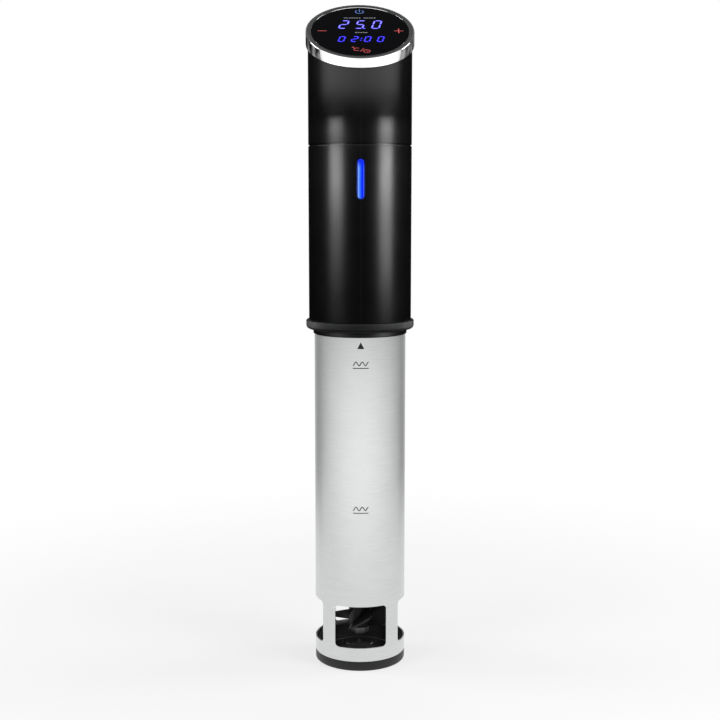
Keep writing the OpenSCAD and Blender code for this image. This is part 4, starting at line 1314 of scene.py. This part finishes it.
class CIRCULATOR_OT_pads(bpy.types.Operator):
    """Grip pads: soft plates with cross ribs on the side that faces the pot"""

    bl_idname = "circulator.pads"
    bl_label = "Grip pads"

    def execute(self, context):
        count = sizes("clamp").ribs
        look = finish("pad_silicone")
        # z of the drawing points to the front, and to the back once it is turned round
        turn_round = Matrix.Rotation(math.pi, 4, "Z")
        for name, body, faces_back in (("fixed_pad", HOUSING, True), ("jaw_pad", JAW, False)):
            lo, hi = low(name), high(name)
            wide, tall, thick = hi.x - lo.x, hi.z - lo.z, hi.y - lo.y
            base = thick * 0.62
            plate = slab(rectangle(wide, tall, 2 * MM), 0, base, 0.25 * MM)
            rib = slab(rectangle(wide - 3 * MM, 1.5 * MM, 0.7 * MM), base * 0.5, thick, 0.3 * MM)
            pitch = (tall - 4.5 * MM) / (count - 1)
            middle = (lo.z + hi.z) / 2
            if faces_back:
                place = shift(0, lo.y, middle) @ turn_round @ UPRIGHT
            else:
                place = shift(0, hi.y, middle) @ UPRIGHT
            obj = piece(name + "_ribbed", placed(plate, place), [look])
            rib = placed(rib, place @ shift(0, -pitch * (count - 1) / 2, 0))
            pattern(obj, rib, False, count, look, step=(0, 0, pitch))
            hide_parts(name)
            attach(obj, body)
        return {"FINISHED"}


class CIRCULATOR_OT_jaw(bpy.types.Operator):
    """Jaw plate: a moulded plate with a tongue that slides in the bridge and a boss for the screw"""

    bl_idname = "circulator.jaw"
    bl_label = "Jaw plate"

    def execute(self, context):
        lo, hi = low("jaw_plate"), high("jaw_plate")
        plate, corner = 3 * MM, 2 * MM
        tongue = 2.8 * MM
        shoulder = hi.z - TONGUE - 0.5 * MM
        centre = middle_of("clamp_screw").z
        head = high("clamp_screw").x + 2 * FIT
        outline = eased([
            (lo.x, lo.z, corner), (hi.x, lo.z, corner), (hi.x, shoulder, corner),
            (tongue, shoulder, 0.3 * MM), (tongue, hi.z, 0.4 * MM), (-tongue, hi.z, 0.4 * MM),
            (-tongue, shoulder, 0.3 * MM), (lo.x, shoulder, corner)])
        look = finish("glass_filled_nylon")
        slide = placed(slab(outline, 0, plate, 0.4 * MM), shift(0, lo.y + plate, 0) @ UPRIGHT)
        obj = piece("jaw_plate_slide", slide, [look])
        # a pocket for the screw's head, and the way out for its shank
        pocket = lo.y + 2.4 * MM
        trimmed(obj, cylinder_y(head, lo.y - 1 * MM, pocket, centre))
        trimmed(obj, cylinder_y(5 * MM, lo.y + 1 * MM, lo.y + 4 * MM, centre))
        bore, rim, long = 4.06 * MM, 7 * MM, hi.y - pocket
        boss = eased([(bore, 0, 0), (rim, 0, 0), (rim, long, 0.8 * MM), (bore, long, 0.3 * MM)])
        place = shift(0, pocket, centre) @ ALONG_Y
        pattern(obj, placed(turned(boss, 64), place), False, 1, look)
        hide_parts("jaw_plate")
        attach(obj, JAW)
        return {"FINISHED"}


class CIRCULATOR_OT_clamp_screw(bpy.types.Operator):
    """Clamp screw with its rolled thread, and the lobed knob on its end"""

    bl_idname = "circulator.clamp_screw"
    bl_label = "Clamp screw and knob"

    def execute(self, context):
        size = sizes("clamp")
        lo, hi = low("clamp_screw"), high("clamp_screw")
        centre = (lo.z + hi.z) / 2
        head, long = hi.x, hi.y - lo.y
        radius = 4 * MM
        core = radius - size.thread_depth
        neck = 6.2 * MM
        start = neck + 1.2 * MM
        outline = eased([
            (0, 0, 0), (head, 0, 0.3 * MM), (head, 2 * MM, 0.3 * MM), (radius, 2 * MM, 0.2 * MM),
            (radius, neck, 0.3 * MM), (core, neck + 0.6 * MM, 0), (core, long, 0.3 * MM), (0, long, 0)])
        look = finish("turned_zinc_steel")
        obj = piece("clamp_screw_rod", turned(outline, 64), [look])
        # the thread starts at the origin, so the rod is moved there while it grows
        obj.data.transform(shift(0, 0, -start))
        grow(obj, thread_tree(), Radius=radius - 0.02 * MM, Depth=size.thread_depth * 0.92,
             Pitch=size.pitch, Length=long - neck - 3 * MM, Finish=look)
        obj.data.transform(shift(0, lo.y, centre) @ ALONG_Y @ shift(0, 0, start))
        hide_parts("clamp_screw")
        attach(obj, SCREW)

        lo, hi = low("clamp_knob"), high("clamp_knob")
        wide, thick = hi.x, hi.y - lo.y
        hub, dish, bottom = 1.2 * MM, thick - 1.1 * MM, thick - 3 * MM
        outline = eased([
            (radius, 0, 0.3 * MM), (wide * 0.62, 0, 0.6 * MM), (wide * 0.66, hub, 0.4 * MM),
            (wide, hub, 1.2 * MM), (wide, thick, 1.8 * MM), (wide * 0.6, thick, 1.0 * MM),
            (wide * 0.52, dish, 1.0 * MM), (0, dish, 0), (0, bottom, 0), (radius, bottom, 0)])
        knob = turned(outline, 240, wave=(size.lobes, size.lobe_depth))
        place = shift(0, lo.y, centre) @ ALONG_Y
        obj = piece("clamp_knob_lobed", placed(knob, place), [finish("spark_eroded_abs")])
        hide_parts("clamp_knob")
        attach(obj, SCREW)
        return {"FINISHED"}


class CIRCULATOR_OT_cord_gland(bpy.types.Operator):
    """Cord gland: a flanged bush in the upper housing's back"""

    bl_idname = "circulator.cord_gland"
    bl_label = "Cord gland"

    def execute(self, context):
        lo, hi = low("cord_gland"), high("cord_gland")
        long = hi.y - lo.y
        bore, barrel, nose = 3.6 * MM, 5 * MM, 5.6 * MM
        wall = high("lower_housing").x - lo.y
        back, front = wall + FIT / 2, wall + 3 * MM
        outline = eased([
            (bore, 0, 0.3 * MM), (barrel, 0, 0.3 * MM), (barrel, back, 0), (hi.x, back, 0.3 * MM),
            (hi.x, front, 1.0 * MM), (nose, front, 0.5 * MM), (nose, long, 0.8 * MM), (bore, long, 0.5 * MM)])
        place = shift(0, lo.y, (lo.z + hi.z) / 2) @ ALONG_Y
        obj = piece("cord_gland_bush", placed(turned(outline, 96), place), [finish("glass_filled_nylon")])
        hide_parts("cord_gland")
        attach(obj, HOUSING)
        return {"FINISHED"}


class CIRCULATOR_OT_inner_finishes(bpy.types.Operator):
    """Finishes of the CAD pieces that stay as they are"""

    bl_idname = "circulator.inner_finishes"
    bl_label = "Inner finishes"

    def execute(self, context):
        slots = {row["node"]: row["material_slot"] for row in frame["record"]["subparts"]}
        for node, obj in frame["nodes"].items():
            slot = slots[node]
            if slot in INNER_FINISHES:
                name, *values = INNER_FINISHES[slot]
                look = bpy.data.materials.get(name) or inner_finish(name, *values)
            else:
                look = finish("glass_filled_nylon")
            for row in obj.material_slots:
                row.material = look
        return {"FINISHED"}


# ---------------------------------------------------------------- stage


def softbox(name, place, aim, wide, tall, power):
    """A rectangular studio light that points at a spot."""
    data = bpy.data.lights.new(name, "AREA")
    data.shape = "RECTANGLE"
    data.size, data.size_y, data.energy = wide, tall, power
    light = bpy.data.objects.new(name, data)
    bpy.context.scene.collection.objects.link(light)
    light.location = place
    light.rotation_euler = (Vector(aim) - Vector(place)).to_track_quat("-Z", "Y").to_euler()
    return light


def flagged(light, pieces, only=False):
    """Keeps a light off these pieces, or lets it reach nothing else."""
    group = bpy.data.collections.new(light.name + " flag")
    for name in pieces:
        group.objects.link(bpy.data.objects[name])
    for row in group.collection_objects:
        row.light_linking.link_state = "INCLUDE" if only else "EXCLUDE"
    light.light_linking.receiver_collection = group


def glowing(name, strength):
    """A card's finish: it gives an even light, or none."""
    material = bpy.data.materials.new(name)
    material.use_nodes = True
    tree = material.node_tree
    tree.nodes.remove(tree.nodes["Principled BSDF"])
    glow = add(tree, "ShaderNodeEmission", {"Strength": strength})
    feed(tree.nodes["Material Output"], Surface=glow.outputs[0])
    return material


def faded(front, sides):
    """The tent's finish: it fades from the camera's side towards the far sides, and rises again behind."""
    material = glowing("faded_tent", front)
    tree = material.node_tree
    where = position(tree)
    flat = add(tree, "ShaderNodeVectorMath", {0: where, 1: (1.0, 1.0, 0.0)}, operation="MULTIPLY")
    aside = add(tree, "ShaderNodeVectorMath", {0: flat.outputs[0]}, operation="NORMALIZE")
    parts = add(tree, "ShaderNodeSeparateXYZ", {"Vector": aside.outputs[0]})
    fall = add(tree, "ShaderNodeMapRange", {
        "Value": parts.outputs["Y"], "From Min": -1.0, "From Max": 0.6, "To Min": front, "To Max": sides})
    rise = add(tree, "ShaderNodeMapRange", {
        "Value": parts.outputs["Y"], "From Min": 0.75, "From Max": 1.0, "To Max": front * 0.45})
    level = add(tree, "ShaderNodeMath", {0: fall.outputs[0], 1: rise.outputs[0]}, operation="ADD")
    feed(tree.nodes["Emission"], Strength=level.outputs[0])
    return material


def mottled(least, most):
    """A dim room with lighter and darker parts, for the chrome to mirror."""
    material = glowing("mottled_room", least)
    tree = material.node_tree
    where = position(tree)
    noise = add(tree, "ShaderNodeTexNoise", {"Vector": where, "Scale": per(420), "Detail": 1.0})
    level = add(tree, "ShaderNodeMapRange", {
        "Value": noise.outputs["Fac"], "From Min": 0.4, "From Max": 0.7, "To Min": least, "To Max": most})
    feed(tree.nodes["Emission"], Strength=level.outputs[0])
    return material


def shaped(strength):
    """The head card's finish: brightest at both sides, weaker at its middle and its ends."""
    material = glowing("shaped_white_card", strength)
    tree = material.node_tree
    parts = add(tree, "ShaderNodeSeparateXYZ", {"Vector": position(tree)})
    aside = add(tree, "ShaderNodeMath", {0: parts.outputs["X"]}, operation="ABSOLUTE")
    rise = add(tree, "ShaderNodeMapRange", {
        "Value": aside.outputs[0], "From Max": 75 * MM, "To Min": 0.64 * strength, "To Max": strength})
    ends = add(tree, "ShaderNodeMapRange", {
        "Value": aside.outputs[0], "From Min": 79 * MM, "From Max": 90 * MM, "To Min": 1.0, "To Max": 0.5})
    level = add(tree, "ShaderNodeMath", {0: rise.outputs[0], 1: ends.outputs[0]}, operation="MULTIPLY")
    feed(tree.nodes["Emission"], Strength=level.outputs[0])
    return material


def card(name, bm, finishes, shades=True):
    """A reflector card that only reflections and light see."""
    mesh = bpy.data.meshes.new(name)
    bm.to_mesh(mesh)
    bm.free()
    for look in finishes:
        mesh.materials.append(look)
    obj = bpy.data.objects.new(name, mesh)
    bpy.context.scene.collection.objects.link(obj)
    obj.visible_camera = False
    obj.visible_shadow = shades
    return obj


def wrap(radius, levels, reach, steps=48):
    """Part of an upright tube round the front. Each band between two levels has its own finish."""
    bm = bmesh.new()
    columns = []
    for i in range(steps + 1):
        turn = reach * (2 * i / steps - 1)
        columns.append([bm.verts.new((radius * math.sin(turn), -radius * math.cos(turn), z)) for z in levels])
    for column, following in zip(columns, columns[1:]):
        for j in range(len(levels) - 1):
            bm.faces.new((column[j], column[j + 1], following[j + 1], following[j])).material_index = j
    return bm


def disc(radius):
    """A flat disc on the floor."""
    bm = bmesh.new()
    bmesh.ops.create_circle(bm, cap_ends=True, radius=radius, segments=96)
    return bm


def pale_floor():
    """Matt white sweep: near the object it takes soft shadows, and further out it only glows."""
    material, tree, bsdf = surface("pale_floor", Roughness=0.8, Specular_IOR_Level=0.0)
    where = position(tree)
    fleck = add(tree, "ShaderNodeTexNoise", {"Vector": where, "Scale": per(4), "Detail": 3.0})
    feed(bsdf, Base_Color=tinted(tree, fleck.outputs["Fac"], "#f6f6f7", "#fafafb"))
    reach = add(tree, "ShaderNodeVectorMath", {0: where}, operation="LENGTH")
    far = add(tree, "ShaderNodeMapRange", {
        "Value": reach.outputs["Value"], "From Min": 0.05, "From Max": 0.5},
        interpolation_type="SMOOTHSTEP")
    glow = add(tree, "ShaderNodeEmission", {"Strength": 1.0})
    mix = add(tree, "ShaderNodeMixShader", {
        0: spread(tree, far.outputs[0], 0.7, 1.0), 1: bsdf.outputs[0], 2: glow.outputs[0]})
    feed(tree.nodes["Material Output"], Surface=mix.outputs[0])
    return material


def cards(size):
    """The floor and the reflector cards."""
    floor = card("floor", disc(size.floor), [pale_floor()])
    floor.visible_camera = True
    floor.visible_glossy = False
    floor.visible_diffuse = False

    # the table's bounce near the object
    table = placed(disc(size.table), shift(0, 0, 0.2 * MM))
    flagged(card("table bounce", table, [glowing("table_bounce", size.table_light)], shades=False),
            ["upper_housing_shell", "lower_housing_shell", "soft_collar"])

    # the tent round it, which only the sleeve mirrors
    tent = wrap(size.tent, (0.0, size.tent_height), math.pi)
    bmesh.ops.create_circle(tent, cap_ends=True, radius=size.tent, segments=96)
    tent = card("tent", tent, [faded(size.tent_front, size.tent_sides)], shades=False)
    flagged(tent, ["steel_sleeve"], only=True)

    # the room above the tent, which only the bezel mirrors
    room = wrap(size.tent, (size.tent_height, size.tent), math.pi)
    flagged(card("room", room, [mottled(0.01, 0.45)], shades=False), ["bezel_ring"], only=True)

    # a black flag under a white card, close round the head
    levels = (size.flag, size.card, size.card + 0.15)
    card("head card", wrap(size.card_radius, levels, size.card_reach),
         [glowing("black_flag", 0.0), shaped(size.card_light)])


def backdrop(scene):
    """White to the camera, and nearly dark to everything else."""
    world = bpy.data.worlds.new("studio")
    world.use_nodes = True
    scene.world = world
    tree = world.node_tree
    white = tree.nodes["Background"]
    white.inputs["Color"].default_value = (1.0, 1.0, 1.0, 1.0)
    white.inputs["Strength"].default_value = 1.0
    rays = add(tree, "ShaderNodeLightPath")
    dim = add(tree, "ShaderNodeBackground", {"Color": linear("#f2f4f8"), "Strength": 0.02})
    mix = add(tree, "ShaderNodeMixShader", {
        0: rays.outputs["Is Camera Ray"], 1: dim.outputs[0], 2: white.outputs[0]})
    feed(tree.nodes["World Output"], Surface=mix.outputs[0])


def lights():
    """Softboxes: place, aim, width, height and power."""
    # a strip at each front side gives the housing its two long highlights, weaker lower down
    spared = ["steel_sleeve", "status_light_pipe", "clamp_frame_arm"]
    for side, degrees, power, tail in ((-1, 54, 1.2, 0.18), (1, 57, 1.5, 0.5)):
        turn = math.radians(degrees)
        x, y = 0.53 * side * math.sin(turn), -0.53 * math.cos(turn)
        flagged(softbox("side strip", (x, y, 0.362), (0, 0, 0.30), 0.27, 0.06, power), spared)
        flagged(softbox("lower side strip", (x, y, 0.23), (0, 0, 0.23), 0.27, 0.1, tail), spared)
        rim = softbox("rim softbox", (side * 0.9, 0.45, 0.25), (0, 0, 0.21), 0.5, 0.5, 4.5)
        flagged(rim, ["soft_collar"], only=True)
    for side in (-1, 1):
        softbox("side softbox", (side * 1.2, 0.25, 1.3), (0, 0, 0.2), 0.6, 0.6, 8)
    softbox("back softbox", (0, 1.6, 0.7), (0, 0, 0.2), 1.5, 1.0, 12)
    top = softbox("top softbox", (0.0, 0.6, 1.3), (0, 0, 0.35), 0.9, 0.6, 0.3)
    flagged(top, ["bezel_ring"], only=True)


def main_camera(scene, size):
    """A camera in front of the object, a little to the left, that looks slightly down."""
    camera = bpy.data.objects.new("camera", bpy.data.cameras.new("camera"))
    scene.collection.objects.link(camera)
    camera.data.lens = size.lens
    camera.data.sensor_width = 36
    camera.data.clip_start = 0.01
    x, y = math.sin(size.azimuth), math.cos(size.azimuth)
    camera.location = (-size.distance * x, -size.distance * y, size.height)
    camera.rotation_euler = (math.pi / 2 - size.pitch, 0, -size.azimuth)
    scene.camera = camera


class CIRCULATOR_OT_stage(bpy.types.Operator):
    """Stage: pale floor, reflector cards, soft studio lights and the camera"""

    bl_idname = "circulator.stage"
    bl_label = "Stage"

    def execute(self, context):
        scene, size = context.scene, sizes("stage")
        scene.view_settings.view_transform = "Standard"
        cards(size)
        backdrop(scene)
        lights()
        main_camera(scene, size)
        return {"FINISHED"}


# ---------------------------------------------------------------- add-on

OPERATORS = (
    CIRCULATOR_OT_inner_finishes,
    CIRCULATOR_OT_upper_housing,
    CIRCULATOR_OT_lower_housing,
    CIRCULATOR_OT_bezel,
    CIRCULATOR_OT_window,
    CIRCULATOR_OT_digits,
    CIRCULATOR_OT_keys,
    CIRCULATOR_OT_status_light,
    CIRCULATOR_OT_collar,
    CIRCULATOR_OT_sleeve,
    CIRCULATOR_OT_level_marks,
    CIRCULATOR_OT_foot,
    CIRCULATOR_OT_impeller,
    CIRCULATOR_OT_clamp_frame,
    CIRCULATOR_OT_pads,
    CIRCULATOR_OT_jaw,
    CIRCULATOR_OT_clamp_screw,
    CIRCULATOR_OT_cord_gland,
    CIRCULATOR_OT_stage,
)
GROUPS = {
    "housing": HousingSizes,
    "panel": PanelSizes,
    "sleeve": SleeveSizes,
    "clamp": ClampSizes,
    "finishes": Finishes,
    "stage": StageSizes,
}


class CIRCULATOR_PT_sidebar(bpy.types.Panel):
    """Lists the sizes and the operators"""

    bl_idname = "CIRCULATOR_PT_sidebar"
    bl_label = "Circulator"
    bl_space_type = "VIEW_3D"
    bl_region_type = "UI"
    bl_category = "Circulator"

    def draw(self, context):
        for label in GROUPS:
            group = sizes(label)
            box = self.layout.box()
            box.label(text=label.capitalize())
            for key in group.__annotations__:
                box.prop(group, key)
        for operator in OPERATORS:
            self.layout.operator(operator.bl_idname)


def register():
    for label, group in GROUPS.items():
        bpy.utils.register_class(group)
        setattr(bpy.types.Scene, "circulator_" + label, PointerProperty(type=group))
    for operator in OPERATORS:
        bpy.utils.register_class(operator)
    bpy.utils.register_class(CIRCULATOR_PT_sidebar)


def unregister():
    bpy.utils.unregister_class(CIRCULATOR_PT_sidebar)
    for operator in reversed(OPERATORS):
        bpy.utils.unregister_class(operator)
    for label, group in reversed(GROUPS.items()):
        delattr(bpy.types.Scene, "circulator_" + label)
        bpy.utils.unregister_class(group)


def main():
    """Registers the add-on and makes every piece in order."""
    register()
    for operator in OPERATORS:
        getattr(bpy.ops.circulator, operator.bl_idname.removeprefix("circulator."))()


if __name__ == "__main__":
    main()
